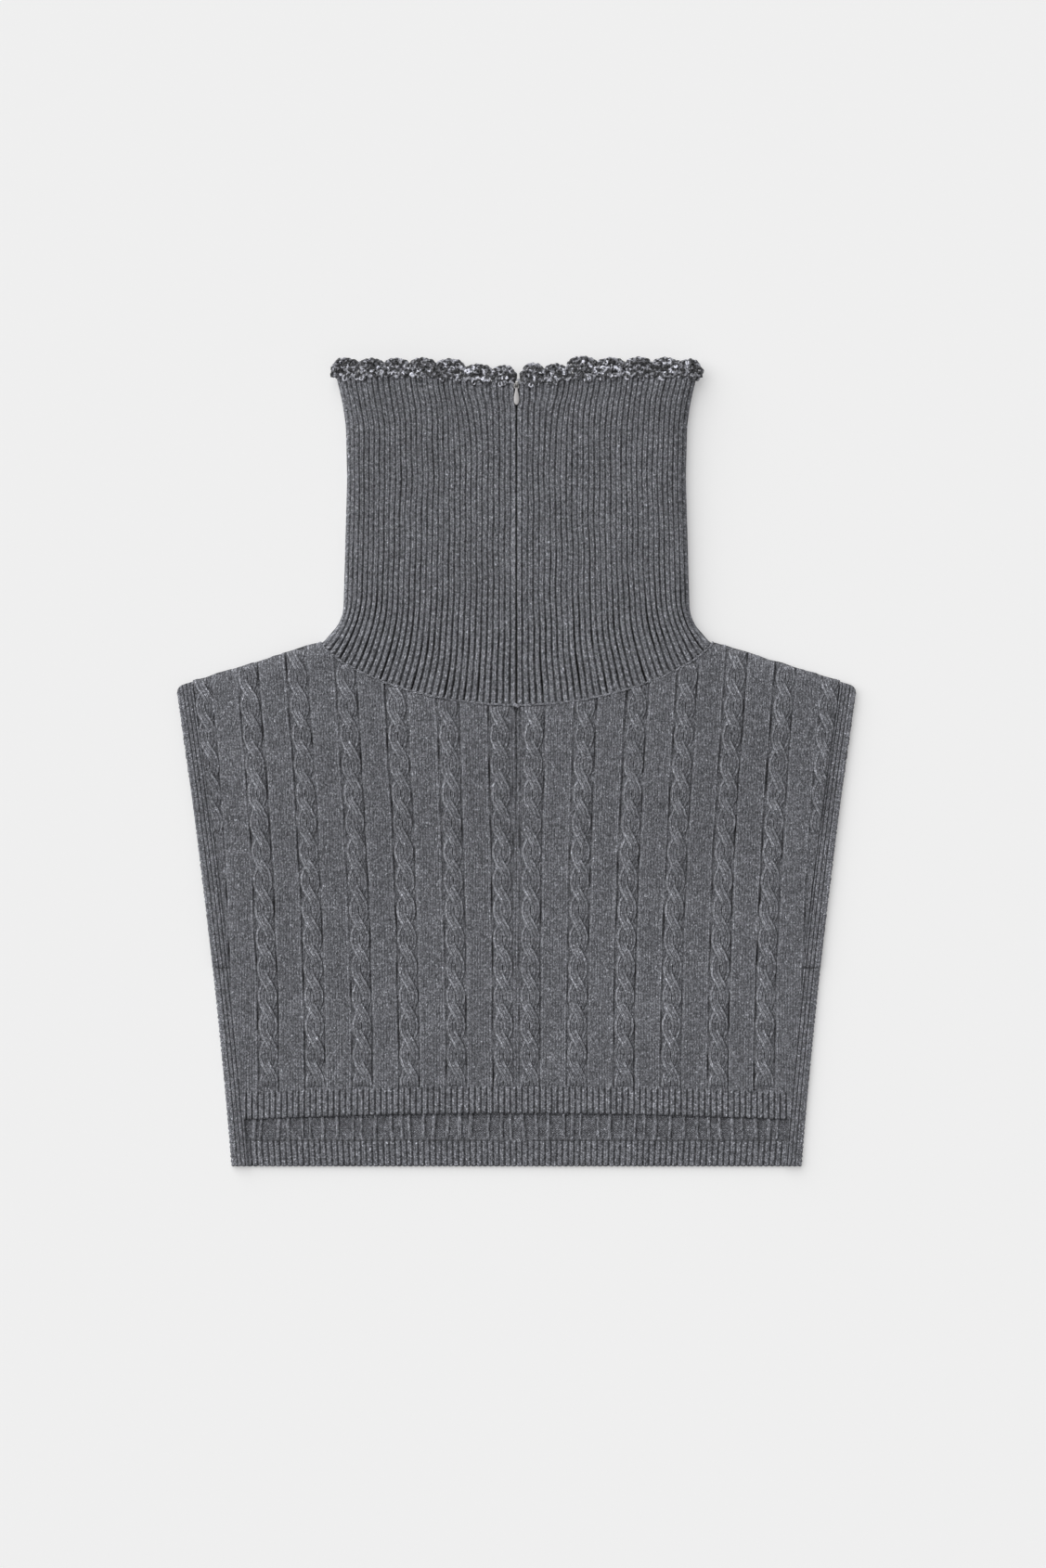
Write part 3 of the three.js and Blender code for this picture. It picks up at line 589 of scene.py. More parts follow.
# %% Relief and shade of the ribs
rib = turn * COLLAR_RIBS * side
fanned = smooth((0.42 - up) / 0.30)
ditch = lerp(1.05, 1.7, fanned) * (1 - 0.4 * smooth((0.015 - up) / 0.015))
depth = rib_depth(rib, ditch * lerp(1.0, 0.75, ~is_near), lerp(0.18, 0.19, fanned))
collar_points = sunk(np.stack([x, y, z], axis=-1), depth)
stitches = np.stack(np.broadcast_arrays(rib, y / COURSE), axis=-1)
# Painted shade in the ditches, uneven along the collar, a painted highlight on the middle of each rib
# and on the ribs beside the slit, and a painted dark line in the slit
ditches = between(rib, 0.17)
uneven_painted_light = 0.85 + 0.2 * drift(x, y, 16.0, 13) + 0.28 * drift(np.round(rib) * 23.0, y, 60.0, 17)
slit_side = np.abs(rib) < 1
painted_rib_highlight = np.maximum(lerp(0.12, 0.42, fanned), 0.6 * slit_side)
painted_shading = ditches * lerp(0.85, 1.25, fanned) * uneven_painted_light - painted_rib_highlight * bell(rib % 1 - 0.5, 0.25)
painted_shading = painted_shading + 0.55 * bell(rib, 0.14)

collar_knit = Knitting("ribbed_collar")
outer = collar_knit.lay(collar_points, stitches, ditches * 0.6, painted_shading)
collar_knit.skin(outer)

# %% Lining of the collar
up, turn, side, is_near, across, x, y = collar_grid(14, 1, 1)
x = x - across**3 * COLLAR_WALL
z = np.where(is_near, near_inner(x, y), COLLAR_WALL)
lining = np.stack([x * side + collar_lean(x * side, y) * is_near, y, z], axis=-1)
stitches = np.stack(np.broadcast_arrays(turn * COLLAR_RIBS * side, y / COURSE), axis=-1)
inner = collar_knit.lay(lining, stitches, 0.4, 0.1)
collar_knit.skin(inner)
collar_knit.close(outer, inner)
collar_piece = collar_knit.piece(RIB_YARN)
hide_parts("collar")

# %% [markdown]
# The front is stockinette with rope cables. Every sixteenth wale starts a cable of six wales with a
# purl ditch on both sides. The wales spread a little towards the shoulders, and the armhole border
# cuts the outer ones off. The ground is one grid whose columns are counted in wales, and the cables
# are laid on it as a piece of their own. One grid for both would need far more columns to hold the
# slanting edges of the strands.

# %% Where the wales of the front lie
BORDER = 9.5
REST_GAP = 0.35
WALE = 1.66
FRONT_HEM = 30.0
HEM_DROOP = 3.6
HEM_DEPTH = 15.0
CABLE_WALES = np.array([4.4, 20.4, 36.4, 52.4, 68.4, 84.4, 100.4])
CABLE_HEM = np.array([7.3, 33.76, 60.16, 86.4, 112.96, 138.88, 165.2])
CABLE_TOP = np.array([9.86, 38.72, 67.98, 96.25, 123.77, 151.31, 175.6])


def lean(hem_x, top_x, share):
    return lerp(hem_x, top_x, np.clip(share, 0, 1) ** 1.8)


def front_edge_x(y):
    return side_x(y) - BORDER + 0.05


def front_hem_y(x):
    return FRONT_HEM - HEM_DROOP * (x / front_edge_x(FRONT_HEM)) ** 2


def wale_x(wale, share):
    knots = np.append(0, CABLE_WALES)
    hem_x = np.interp(wale, knots, np.append(0, CABLE_HEM))
    top_x = np.interp(wale, knots, np.append(0, CABLE_TOP))
    return lean(hem_x, top_x, share)


# %% [markdown]
# The relief of the ground is a function of the wale: a groove between wales, a deep purl ditch on
# both sides of a cable with a low rim next to it, and one ditch down the middle that opens below
# the slit. It could be sculpted, but then the cables would have to be fitted to it by eye.

# %% Relief of the front's ground
DITCH = 1.05
DITCH_WALE = 3.40
RIM_WALE = 4.2
MIDDLE_RIM = 0.95
OPENS_AT = 175.0
OPENS_OVER = 80.0
SLIT_END = NECK_LEVEL - FRONT_DROP - 2.0


def from_cable(wale):
    return np.min(np.abs(np.abs(wale)[..., None] - CABLE_WALES), axis=-1)


def ground_relief(wale, y):
    away = from_cable(wale)
    deepness = 0.66 + 0.4 * drift(wale * WALE, y, 20.0, 5)
    beside = bell(away - DITCH_WALE, 0.32) * deepness
    opened = smooth((y - OPENS_AT) / OPENS_OVER)
    middle = bell(wale, 0.34) * lerp(0.7, 1.5, opened)
    rims = 0.50 * (bell(away - RIM_WALE, 0.30) + bell(np.abs(wale) - MIDDLE_RIM, 0.30))
    under = smooth((3.2 - away) / 0.4)
    ditch = np.maximum(beside, middle)
    grooves = wale_depth(wale) * smooth((np.abs(wale) - 0.6) / 0.6)
    depth = np.maximum(grooves, DITCH * ditch) - 0.45 * rims
    # The second value is painted shade: dark in the ditches, with a painted highlight on the rims
    # beside them
    return np.maximum(depth, 0.6 * under), 1.25 * np.clip(ditch, 0, 1) - rims


# %% Rows of the front panel
WALE_STEP = 0.25
INNER_WALES = 88.0
EDGE_COLUMNS = 52

hem_ups = np.concatenate([[0, 0.02, 0.06, 0.12], np.linspace(0.2, 0.92, 9)])
body_shares = np.concatenate([[0.0, 0.006], np.linspace(0.014, 1, 101)])
inner_wales = np.arange(0, INNER_WALES + 0.01, WALE_STEP)


# Wale numbers of one row, from the middle to the edge
def row_of_wales(share, y_edge):
    inside = wale_x(inner_wales, share)
    pitch = (wale_x(INNER_WALES, share) - wale_x(INNER_WALES - 8, share)) / 8
    limit = INNER_WALES + (front_edge_x(y_edge) - inside[-1]) / pitch
    rest = np.linspace(INNER_WALES, limit, EDGE_COLUMNS + 1)[1:]
    return np.append(inner_wales, rest), np.append(inside, inside[-1] + (rest - INNER_WALES) * pitch)


rows_wale, rows_x, rows_y = [], [], []
for hem_up in hem_ups:
    wale, x = row_of_wales(0.0, FRONT_HEM + hem_up * HEM_DEPTH)
    rows_wale.append(wale)
    rows_x.append(x)
    rows_y.append(front_hem_y(x) + hem_up * HEM_DEPTH)
for share in body_shares:
    guess = FRONT_HEM + HEM_DEPTH + share * (BODY_LENGTH - FRONT_HEM - HEM_DEPTH)
    wale, x = row_of_wales(share, guess)
    top = panel_top(x, FRONT_DROP) + 0.3 * drift(x, 0 * x, 8.0, 71) * smooth((x - NECK_HALF - 2) / 5)
    rows_wale.append(wale)
    rows_x.append(x)
    rows_y.append(lerp(front_hem_y(x) + HEM_DEPTH, top, share))
wale, x, y = (np.array([np.concatenate([-sign * row[::-1], row[1:]]) for row in rows])
              for rows, sign in ((rows_wale, 1), (rows_x, 1), (rows_y, -1)))
print("front grid:", x.shape)

# %% [markdown]
# The grid now gets its height above the table, its relief and its shade. The lowest rows are the
# ribbed hem, where two wales make one rib, and their edge curls under a little. The shade is painted
# into the colour and goes with the relief: yarn in a hollow gets painted shade, darker than the light
# alone would make it, and the low rims beside the cables get a painted highlight.

# %% Shape of the front panel
edge = edge_distance(x, y)
z = near_outer(x, y)
hem_rows = len(hem_ups)
in_hem = np.arange(len(y))[:, None] < hem_rows
ground, ditches = ground_relief(wale, y)
rib_ditch = between(wale / 2, 0.17)
depth = np.where(in_hem, rib_depth(wale / 2, 0.85), ground)
from_hem = y - front_hem_y(x)
lip = 1 - rounding(from_hem / 1.4)
x = x + 0.25 * drift(x, y, 45.0, 21) * smooth(edge / 14) * smooth((y - 48) / 20)
points = sunk(np.stack([x, y, z], axis=-1), depth)
points[..., 2] -= lip * 0.9
wave_edge(points, rib_ditch, from_hem)
# Painted shade: the hem darker in its rib ditches and lighter on each rib's middle, the ground darker
# in its ditches and between its wales
rib_shade = hem_shade(wale / 2, rib_ditch)
ditch_shade = np.where(in_hem, rib_shade, ditches)
wale_shade = np.where(in_hem, 0, 0.50 * between(wale, 0.13))
front = Knitting("front_knit")
course = (y - front_hem_y(x)) / COURSE
# The slit ends in a small dent, sunk into the cloth and darkened further with painted shade
hole = bell(np.hypot(x, y - SLIT_END), 1.5)
points[..., 2] -= 1.1 * hole
painted_shading = np.where(ditch_shade > 0.1, ditch_shade, ditch_shade + wale_shade) + 1.2 * hole
outer = front.lay(points, np.stack([wale, course], axis=-1), np.clip(ditch_shade, 0, 1), painted_shading)
hem_stitches = np.stack([wale / 2, course], axis=-1)
front.skin(outer[: hem_rows + 1], hem_stitches[: hem_rows + 1])
front.skin(outer[hem_rows:])

# %% Back of the front panel
lining_rows = np.append(np.arange(0, len(y), 8), len(y) - 1)
lining_columns = np.append(np.arange(0, y.shape[1] - 1, 16), y.shape[1] - 1)
take = np.ix_(lining_rows, lining_columns)
lining = np.stack([x[take], y[take], near_inner(x[take], y[take])], axis=-1)
inner = front.lay(lining, np.stack([wale[take], course[take]], axis=-1), 1.0, 0.1)
front.skin(inner)
front.close(outer, inner)
front_piece = front.piece(BODY_YARN)
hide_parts("front_panel")

# %% [markdown]
# A rope cable is six wales in two strands of three. Every twelve or thirteen courses the left one
# passes over the right one, so the cable twists the same way all the way down. On a knitting machine
# the stitches are swapped on a spare needle. Here each strand is its own ribbon that follows the
# crossing path, rides over its partner, and carries its three wales with it.

# %% Path of a strand
CROSSING = 16.28
FIRST_CROSSING = 200.7
STRAND_HALF = 2.70
SWING = 2.85
STRAND_RISE = 0.75
STRAND_STEP = 1.12
STRAND_FOOT = 1.0


# Middle of a cable at the levels y, from its places at the hem and at the top
def cable_x(hem_x, top_x, y):
    top = float(panel_top(np.array(top_x), FRONT_DROP))
    share = (y - FRONT_HEM - HEM_DEPTH) / (top - FRONT_HEM - HEM_DEPTH)
    return lean(hem_x, top_x, share)


# Side and height of one strand down the cable: side runs from -1 at the left to 1 at the right
def strand_path(y, which):
    phase = (FIRST_CROSSING - y) / CROSSING
    nearest = np.round(phase)
    local = phase - nearest
    turned = np.where((nearest + which) % 2 == 0, 1.0, -1.0)
    swap = np.sin(np.pi / 2 * np.clip(-local / 0.46, -1, 1))
    over = np.cos(np.pi / 2 * np.clip(local / 0.42, -1, 1)) ** 2
    height = np.where(turned > 0, 0.6, -0.9) * over
    # The third value is painted light at a crossing: a painted highlight on the strand on top, and
    # painted shade on the one below
    return -swap * turned, height, over * np.where(turned > 0, 1.0, -0.8)


# %% [markdown]
# Across, a strand is a low arch of thirteen points. It is round towards the outside of the cable and
# nearly flat towards its partner, so that the pair reads as one rope. A full round tube would look
# like a cord that lies on the cloth.

# %% Shape of a strand
front_cables = Knitting("front_cables")
profile = np.linspace(-1, 1, 13)


def strand_crown(lies):
    outward = profile[None, :] * lies[:, None]
    steep = 1 - 0.75 * np.clip(-outward / np.maximum(np.abs(profile), 0.01)[None, :], 0, 1)
    return np.sqrt(np.maximum(1 - steep * np.abs(profile)[None, :] ** 3.0, 0)), steep


def lay_strand(hem_x, top_x, mirror, which, low, high):
    y = np.linspace(low, high, int((high - low) / STRAND_STEP))
    lies, height, front_over = strand_path(y, which)
    crown, steep = strand_crown(lies)
    x = mirror * cable_x(hem_x, top_x, y) + SWING * lies
    tangent = np.stack([np.gradient(x), np.gradient(y)], axis=-1)
    tangent /= np.linalg.norm(tangent, axis=-1, keepdims=True)
    across = STRAND_HALF * profile[None, :]
    px = x[:, None] + tangent[:, 1:2] * across
    py = y[:, None] - tangent[:, 0:1] * across
    py = np.minimum(py, panel_top(px, FRONT_DROP) - 0.5)
    limit = front_edge_x(py) - 0.2
    clipped = np.abs(px) > limit
    px = np.where(clipped, np.sign(px) * limit, px)
    wale = 1.5 * (profile + 1)[None, :] + np.zeros_like(px)
    base = near_outer(px, py)
    fade = smooth((py - low) / 2.5) * smooth((high - py) / 2.0)
    pz = base + fade * (height[:, None] + STRAND_RISE * crown - wale_depth(wale)) - (1 - fade) * 0.5
    pz = np.where(clipped, base - 0.4, pz)
    feet = np.stack([px, py, base - STRAND_FOOT], axis=-1)[:, [-1, 0]]
    rings = np.concatenate([np.stack([px, py, pz], axis=-1), feet], axis=1)
    run = np.concatenate([[0], np.cumsum(np.hypot(np.diff(x), np.diff(y)))]) / COURSE
    # Painted light on the strand: painted shade in the grooves between its wales and along its outer
    # edge, a painted highlight on its outer legs that comes and goes along the cable, and the crossing
    # light
    groove = 0.75 * between(wale, 0.13) * (np.abs(profile) < 0.9)
    uneven_painted_light = (0.92 + 0.34 * drift(x, y, 26.0, 41))[:, None]
    bright = uneven_painted_light * bell(np.abs(profile) - 0.70, 0.13)[None, :] * steep + 0.34 * front_over[:, None]
    dark = 1.15 * np.abs(profile)[None, :] ** 14 * steep
    shade = np.concatenate([dark + groove - bright, np.ones((len(y), 2))], axis=1)
    wale = np.concatenate([wale, np.full((len(y), 2), 3.0)], axis=1)
    stitches = np.stack([wale, np.broadcast_to(run[:, None], wale.shape)], axis=-1)
    front_cables.tube(rings, stitches, 0.0, shade)


# %% All the strands
for hem_x, top_x in zip(CABLE_HEM, CABLE_TOP):
    top = float(panel_top(np.array(top_x), FRONT_DROP))
    heights = np.linspace(FRONT_HEM + HEM_DEPTH - 0.5, top - 0.6, 200)
    inside = heights[cable_x(hem_x, top_x, heights) < front_edge_x(heights) - 0.5]
    for mirror in (-1, 1):
        for which in (0, 1):
            lay_strand(hem_x, top_x, mirror, which, inside[0], inside[-1])
cables_piece = front_cables.piece(BODY_YARN)

# %% [markdown]
# The back is longer than the front, so a strip of its wrong side shows below the front hem: purl
# ground with raised wales at uneven distances, then one-and-one ribbing. The rest of that side is
# hidden, and the side on the table has the front's relief, pressed low. A copy of the front would
# have its right side up here, so the back is knitted as a piece of its own.

# %% Back panel, inner side
BACK_INSET = 0.6
RIDGE_PITCH = 6.9
SEAM_ROOM = 1.0
BACK_RIB = 3.22


def back_sides(y):
    return side_x(y) - lerp(BACK_INSET, 1.6, smooth((y - 36) / 8))


back = Knitting("back_knit")
steps = np.linspace(-1, 1, 601)
low_rows = np.concatenate([[0, 0.3, 0.9, 1.8], np.arange(3.0, 42.0, 1.35)])
# The middle columns end on the neck seam and the outer ones on the shoulder
end = np.sign(steps) * np.abs(steps) ** 0.97 * (SHOULDER_HALF - BACK_INSET)
top = panel_top(end, BACK_DROP) - SEAM_ROOM
rows = [np.full(len(steps), level) for level in low_rows]
rows += [lerp(low_rows[-1], top, share) for share in np.linspace(0, 1, 15)[1:]]
y = np.array(rows)
x = steps[None, :] * back_sides(y)
in_hem = smooth((HEM_DEPTH + 1.0 - y) / 2.0)
rib = x / (BACK_RIB * back_sides(y) / back_sides(0.0))
rib_ditch = between(rib, 0.18)
ridge_rng = np.random.default_rng(31)
ridges = [RIDGE_PITCH * (k + 0.5) + ridge_rng.uniform(-2.0, 2.0) for k in range(-22, 22)]
widths = ridge_rng.uniform(0.7, 1.6, len(ridges))
bend = 0.5 * drift(x, y, 22.0, 31)
bells = [bell((x + bend - place) / width, 1.0) ** 2 for place, width in zip(ridges, widths)]
ridge = smooth(np.max(bells, axis=0) * 1.6)
ground = 1.1 * (1 - ridge)
depth = lerp(ground, rib_depth(rib, 0.85), in_hem)
lifted = PANEL_WALL + 0.05 + 1.15 * smooth((29.5 - y) / 5)
points = sunk(np.stack([x, y, lifted], axis=-1), depth)
points[..., 2] -= 0.7 * (1 - rounding(y / 1.2))
wave_edge(points, rib_ditch, y)
purl = lerp(1 - ridge, rib_ditch, in_hem)
# Painted shade: the purl ground a little dark and the flanks of each ridge darker, with a painted
# highlight on the ridge; the hem takes the ribbed hem's painted shade
flank = np.clip(1 - np.abs(ridge - 0.35) / 0.35, 0, 1)
shade = lerp(0.34 * (1 - ridge) + 1.35 * flank - 0.32 * ridge, hem_shade(rib, rib_ditch), in_hem)
wale = np.where(in_hem > 0.5, rib, x / WALE)
inner = back.lay(points, np.stack([wale, y / COURSE], axis=-1), purl, shade)
back.skin(inner)

# %% Back panel, the side on the table
steps = np.linspace(-1, 1, 401)
shares = np.concatenate([[0, 0.004, 0.01], np.linspace(0.02, 1, 84)])
top = panel_top(steps * (SHOULDER_HALF - BACK_INSET), BACK_DROP) - SEAM_ROOM
y = shares[:, None] * top[None, :]
x = steps[None, :] * back_sides(y)
wale = x / WALE / lerp(1.0, 1.12, shares[:, None])
ground, ditches = ground_relief(wale, y * 0)
swell = 0.45 * np.cos(2 * np.pi * y / CROSSING) * bell(from_cable(wale), 2.4)
in_hem = smooth((HEM_DEPTH + 1.0 - y) / 2.0)
rib = x / BACK_RIB
pressed = ground * (1 - bell(from_cable(wale), 2.6)) + 0.2 + swell * 0.4
depth = lerp(pressed, rib_depth(rib, 0.8), in_hem)
edge = rounding((edge_distance(x, y) - BACK_INSET) / FOLD_RADIUS)
z = PANEL_WALL * 0.4 * (1 - edge) + depth * 0.7
z = np.minimum(z, PANEL_WALL - 0.35)
stitches = np.stack([wale, y / COURSE], axis=-1)
# Painted shade in the ditches of the side on the table
outer = back.lay(np.stack([x, y, z], axis=-1), stitches, ditches, ditches * 0.8)
back.skin(outer)
back.close(outer, inner)
back_piece = back.piece(BODY_YARN)
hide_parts("back_panel")

# %% [markdown]
# Narrow ribbed borders finish the sides. Below the armhole the back's border folds round to the
# near side and is sewn to the front. Above it, the front's own border edges the armhole. Both have
# nearly three ribs, and the stitches on the very edge lie across it. The panels' grids could carry
# the borders too, but their columns run another way, so each border is a strip of its own.

# %% One border
EDGE_STITCHES = 3.8
BORDER_PITCH = 2.2
ARMHOLE_BASE = 111.0
border_steps = np.linspace(0, 1, 39)


def border_strip(side, low, high_at, folded):
    place_name = "side_border_" if folded else "armhole_border_"
    cloth = Knitting(place_name + ("right" if side > 0 else "left") + "_knit")
    rows = int((high_at(BORDER / 2) - low) / 1.3)
    up = np.linspace(0, 1, rows)[:, None]
    inset = BORDER * (1 - border_steps)[None, :]
    y = lerp(low, high_at(inset), up)
    x = side_x(y) - inset
    edge = edge_distance(x, y)
    top = near_inner(x, y, edge) + PANEL_WALL
    if folded:
        z = lerp(FOLD_LEVEL, top, rounding(inset / FOLD_RADIUS))
    else:
        thin = near_inner(x, y, edge) + PANEL_WALL * EDGE_THINNING
        z = lerp(thin, top, rounding(edge / 1.6))
    rib = np.broadcast_to((inset - EDGE_STITCHES) / BORDER_PITCH, y.shape)
    outermost = smooth((EDGE_STITCHES - 0.2 - inset) / 0.7) + np.zeros_like(y)
    bumps = 0.5 + 0.5 * np.cos(2 * np.pi * y / 2.0 + 3.0 * (inset > EDGE_STITCHES / 2))
    knots = 0.3 * bumps + 0.4 * bell(inset - EDGE_STITCHES / 2, 0.3)
    depth = lerp(rib_depth(rib, 0.8), knots, outermost)
    points = sunk(np.stack([x, y, z], axis=-1), depth)
    points[..., 0] += 0.25 * smooth((1.0 - inset) / 1.0) * np.cos(2 * np.pi * y / 2.6)
    ditches = between(rib, 0.17) * (1 - outermost)
    stitches = np.stack([rib, y / COURSE], axis=-1)
    if folded:
        legs = [(0.35, 0.42), (1.2, 0.14), (2.8, 0.05), (FOLD_RADIUS * 1.4, 0.03)]
        level = y[:, 0]
        under = []
        for inside, height in legs:
            line = [side_x(level) - inside, level, np.full(rows, FOLD_LEVEL * height)]
            under.append(np.stack(line, axis=-1))
        points = np.concatenate([points, np.stack(under, axis=1)], axis=1)
        more = np.stack([rib[:, -1] - 1, level / COURSE], axis=-1)[:, None, :]
        stitches = np.concatenate([stitches, np.broadcast_to(more, (rows, len(legs), 2))], axis=1)
        wider = ((0, 0), (0, len(legs)))
        ditches = np.pad(ditches, wider)
        outermost = np.pad(outermost, wider, constant_values=1)
    points[..., 0] *= side
    # Painted shade in the rib ditches and a faint painted highlight on the rest; the lining gets
    # painted shade too
    outer = cloth.lay(points, stitches, np.maximum(ditches, outermost), ditches - 0.1)
    cloth.skin(outer)
    take = np.append(np.arange(0, rows - 1, 6), rows - 1)
    spots = [(BORDER, None), (BORDER * 0.5, None), (PANEL_WALL * 1.15 if folded else 0.5, None)]
    if folded:
        spots += [(PANEL_WALL * 1.15, PANEL_WALL * 0.8), (FOLD_RADIUS * 1.4, PANEL_WALL * 0.8)]
    lining = []
    for inside, height in spots:
        level = lerp(low, high_at(inside) - 0.1, up[take, 0])
        place = side_x(level) - inside
        raised = near_inner(place, level) if height is None else np.full_like(level, height)
        lining.append(np.stack([side * place, level, raised], axis=-1))
    inner = cloth.lay(np.stack(lining, axis=1), np.zeros(2), 0.5, 0.3)
    cloth.skin(inner)
    cloth.close(outer, inner)
    return cloth.piece(BODY_YARN)


# %% The four borders
def side_top(inset):
    return ARMHOLE_BASE + 0 * inset


def armhole_top(inset):
    return shoulder_y(SHOULDER_HALF - inset) - 0.2


side_borders = [border_strip(side, 0.0, side_top, True) for side in (1, -1)]
armhole_low = ARMHOLE_BASE + REST_GAP
armhole_borders = [border_strip(side, armhole_low, armhole_top, False) for side in (1, -1)]
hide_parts("armhole_border_right")
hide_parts("armhole_border_left")


# %% [markdown]
# Yarn that shows as yarn, in the frill, the seam and the zip's coil, is swept along a path. The
# round of the tube has two lobes that turn as it goes, so it reads as two plies twisted together.
# Curves with a bevel would sweep a tube too, but not one that twists like plied yarn.

# %% Yarn swept along a path
def sweep(cloth, path, radius, closed, sides=7, plies=0.22, twist=3.0, depth=0.0):
    count = len(path)
    if closed:
        tangent = np.roll(path, -1, axis=0) - np.roll(path, 1, axis=0)
    else:
        tangent = np.gradient(path, axis=0)
    tangent /= np.maximum(np.linalg.norm(tangent, axis=1, keepdims=True), 1e-9)
    lift = np.array([0.0, 0.0, 1.0]) + 0.35 * np.array([0.3, 0.7, 0.0])
    across = np.cross(tangent, lift)
    across /= np.maximum(np.linalg.norm(across, axis=1, keepdims=True), 1e-9)
    upward = np.cross(across, tangent)
    steps = np.linalg.norm(np.diff(path, axis=0), axis=1)
    run = np.concatenate([[0], np.cumsum(steps)])
    turns = max(1, round(run[-1] / twist)) if closed else run[-1] / twist
    turned = turns * np.arange(count + 1) / count if closed else run / twist
    spin = 2 * np.pi * turned[:count]
    angle = np.linspace(0, 2 * np.pi, sides, endpoint=False)
    reach = radius * (1 + plies * np.cos(2 * (angle[None, :] - spin[:, None] / 2)))
    ring = path[:, None, :] + (reach * np.cos(angle))[..., None] * across[:, None, :]
    ring = ring + (reach * np.sin(angle))[..., None] * upward[:, None, :]
    index = cloth.lay(ring, np.zeros(2), 0.0, depth)
    index = np.concatenate([index, index[:, :1]], axis=1)
    if closed:
        index = np.concatenate([index, index[:1]], axis=0)
    around = np.linspace(0, 1, sides + 1)
    cloth.skin(index, np.stack(np.broadcast_arrays(around[None, :], turned[:, None]), axis=-1))
    if not closed:
        cloth.cap(index[0, :-1])
        cloth.cap(index[-1, :-1])


# %% Shiny crochet yarn
def crochet_material():
    n = Nodes("glossy_crochet_yarn")
    around, along = n.stitches()[:2]
    spot = n.spot()
    ply = n.math("MULTIPLY_ADD", around, 4.0, n.math("MULTIPLY", along, 2.0))
    strand = n.math("ABSOLUTE", n.math("SINE", n.math("MULTIPLY", ply, np.pi)))
    fibre = n.noise(spot, 2600.0, 3.0, 0.7)
    n.bump(n.math("MULTIPLY_ADD", fibre, 0.4, strand), 0.00028)
    # Painted glints: bright spots at random, multiplied into the colour over the real gloss
    glint = n.ramp(n.noise(spot, 470.0, 1.0, 0.4), 0.47, 0.59, 0.48, 4.2)
    # Painted light from the stored depth value, and painted shade between the two plies of the yarn
    lit = n.math("SUBTRACT", 1.0, n.stored("depth"))
    shade = n.math("MULTIPLY", n.math("MULTIPLY_ADD", strand, 0.55, 0.55), lit)
    n.tint((0.150, 0.152, 0.168), n.math("MULTIPLY", shade, glint))
    n.set(Roughness=0.32, Specular_IOR_Level=0.8, Sheen_Weight=0.1)
    return n.material


CROCHET = crochet_material()

# %% [markdown]
# The frill is crochet: shells of looped stitches, one after another along the collar's top edge,
# parted at the zip. On the near side their places follow the real one, with two shells that sag
# near the zip. Each shell is a fan of long loops, filled with small curled stitches and edged by one
# thick yarn. The far side's frill is pressed flat under the near one.

# %% Where the shells lie
rng = np.random.default_rng(7)
frill = Knitting("crochet_frill")

SCALLOP = 3.1
BRIM_HALF = 101.5
FAR_BRIM = 1.4

# Left and right end of each shell and the height of its top, along the near side
NEAR_SHELLS = [(-103.6, -88.0, 10.2), (-88.2, -74.0, 9.9), (-74.4, -59.8, 10.0), (-60.2, -45.0, 10.2),
               (-45.4, -29.2, 10.4), (-29.6, -13.4, 9.0), (-13.8, -0.2, 9.4),
               (2.6, 15.4, 10.6), (15.2, 28.6, 9.2), (28.6, 45.0, 11.8), (44.6, 61.0, 10.3),
               (60.8, 76.0, 10.6), (75.8, 90.4, 10.4), (90.2, 103.8, 9.6)]


# Top edge of the collar at x: its height up the page and the middle of its wall above the table
def collar_brim(x, near):
    across = np.clip(np.abs(x) / collar_half_at(COLLAR_TOP), 0, 1)
    y = top_edge(across, near)
    place = np.clip(np.abs(x), 0, collar_half_at(COLLAR_TOP) - 0.5)
    level = near_inner(place, y) + COLLAR_WALL / 2
    height = lerp(FOLD_LEVEL, level, rounding((BRIM_HALF - place) / 4)) if near else FAR_BRIM
    return float(y), float(height)


# %% [markdown]
# Two kinds of stitch make up the crochet: a long loop that stands on the collar's edge, and a small
# ring that curls up anywhere. Both are closed paths for the yarn. Each ring is tipped at random, so
# that no two catch the light alike, and one seed keeps them the same at every run.

# %% Loops and curled stitches
def loop(root, tip, width, lift, swirl, count=22):
    s = np.linspace(0, 2 * np.pi, count, endpoint=False)
    run = tip - root
    length = np.hypot(run[0], run[1])
    normal = np.array([-run[1], run[0]]) / max(length, 1e-6)
    along = 0.5 - 0.5 * np.cos(s)
    belly = np.sin(s) * width / 2 * (0.55 + 0.9 * along)
    flat = root[:2] + run[:2] * along[:, None] + normal * belly[:, None]
    height = lerp(root[2], tip[2], along) + lift * np.sin(s + swirl)
    return np.column_stack([flat, height])


def curl_stitch(x, y, z, size, count=11):
    s = np.linspace(0, 2 * np.pi, count, endpoint=False) + rng.uniform(0, 6)
    squeeze, way = rng.uniform(0.55, 0.95), rng.uniform(0, np.pi)
    flat_x, flat_y = size * np.cos(s), size * squeeze * np.sin(s)
    lift = rng.uniform(0.15, 0.55) * size * np.sin(s + rng.uniform(0, 6))
    return np.column_stack([x + flat_x * np.cos(way) - flat_y * np.sin(way),
                            y + flat_x * np.sin(way) + flat_y * np.cos(way), z + lift])


# %% One shell
# Height of a shell above the brim, with u from -1 at its left end to 1 at its right end. It falls to
# the brim only at an end that has no neighbour.
def shell_top(u, height, free_left, free_right):
    top = height - SCALLOP * (1 - np.maximum(1 - np.abs(u) ** 2.2, 0) ** 0.8)
    for end, free in ((-1, free_left), (1, free_right)):
        if free:
            top = top * np.sqrt(np.maximum(1 - np.clip(1 - np.abs(end - u) / 0.6, 0, 1) ** 2.5, 0))
    return top


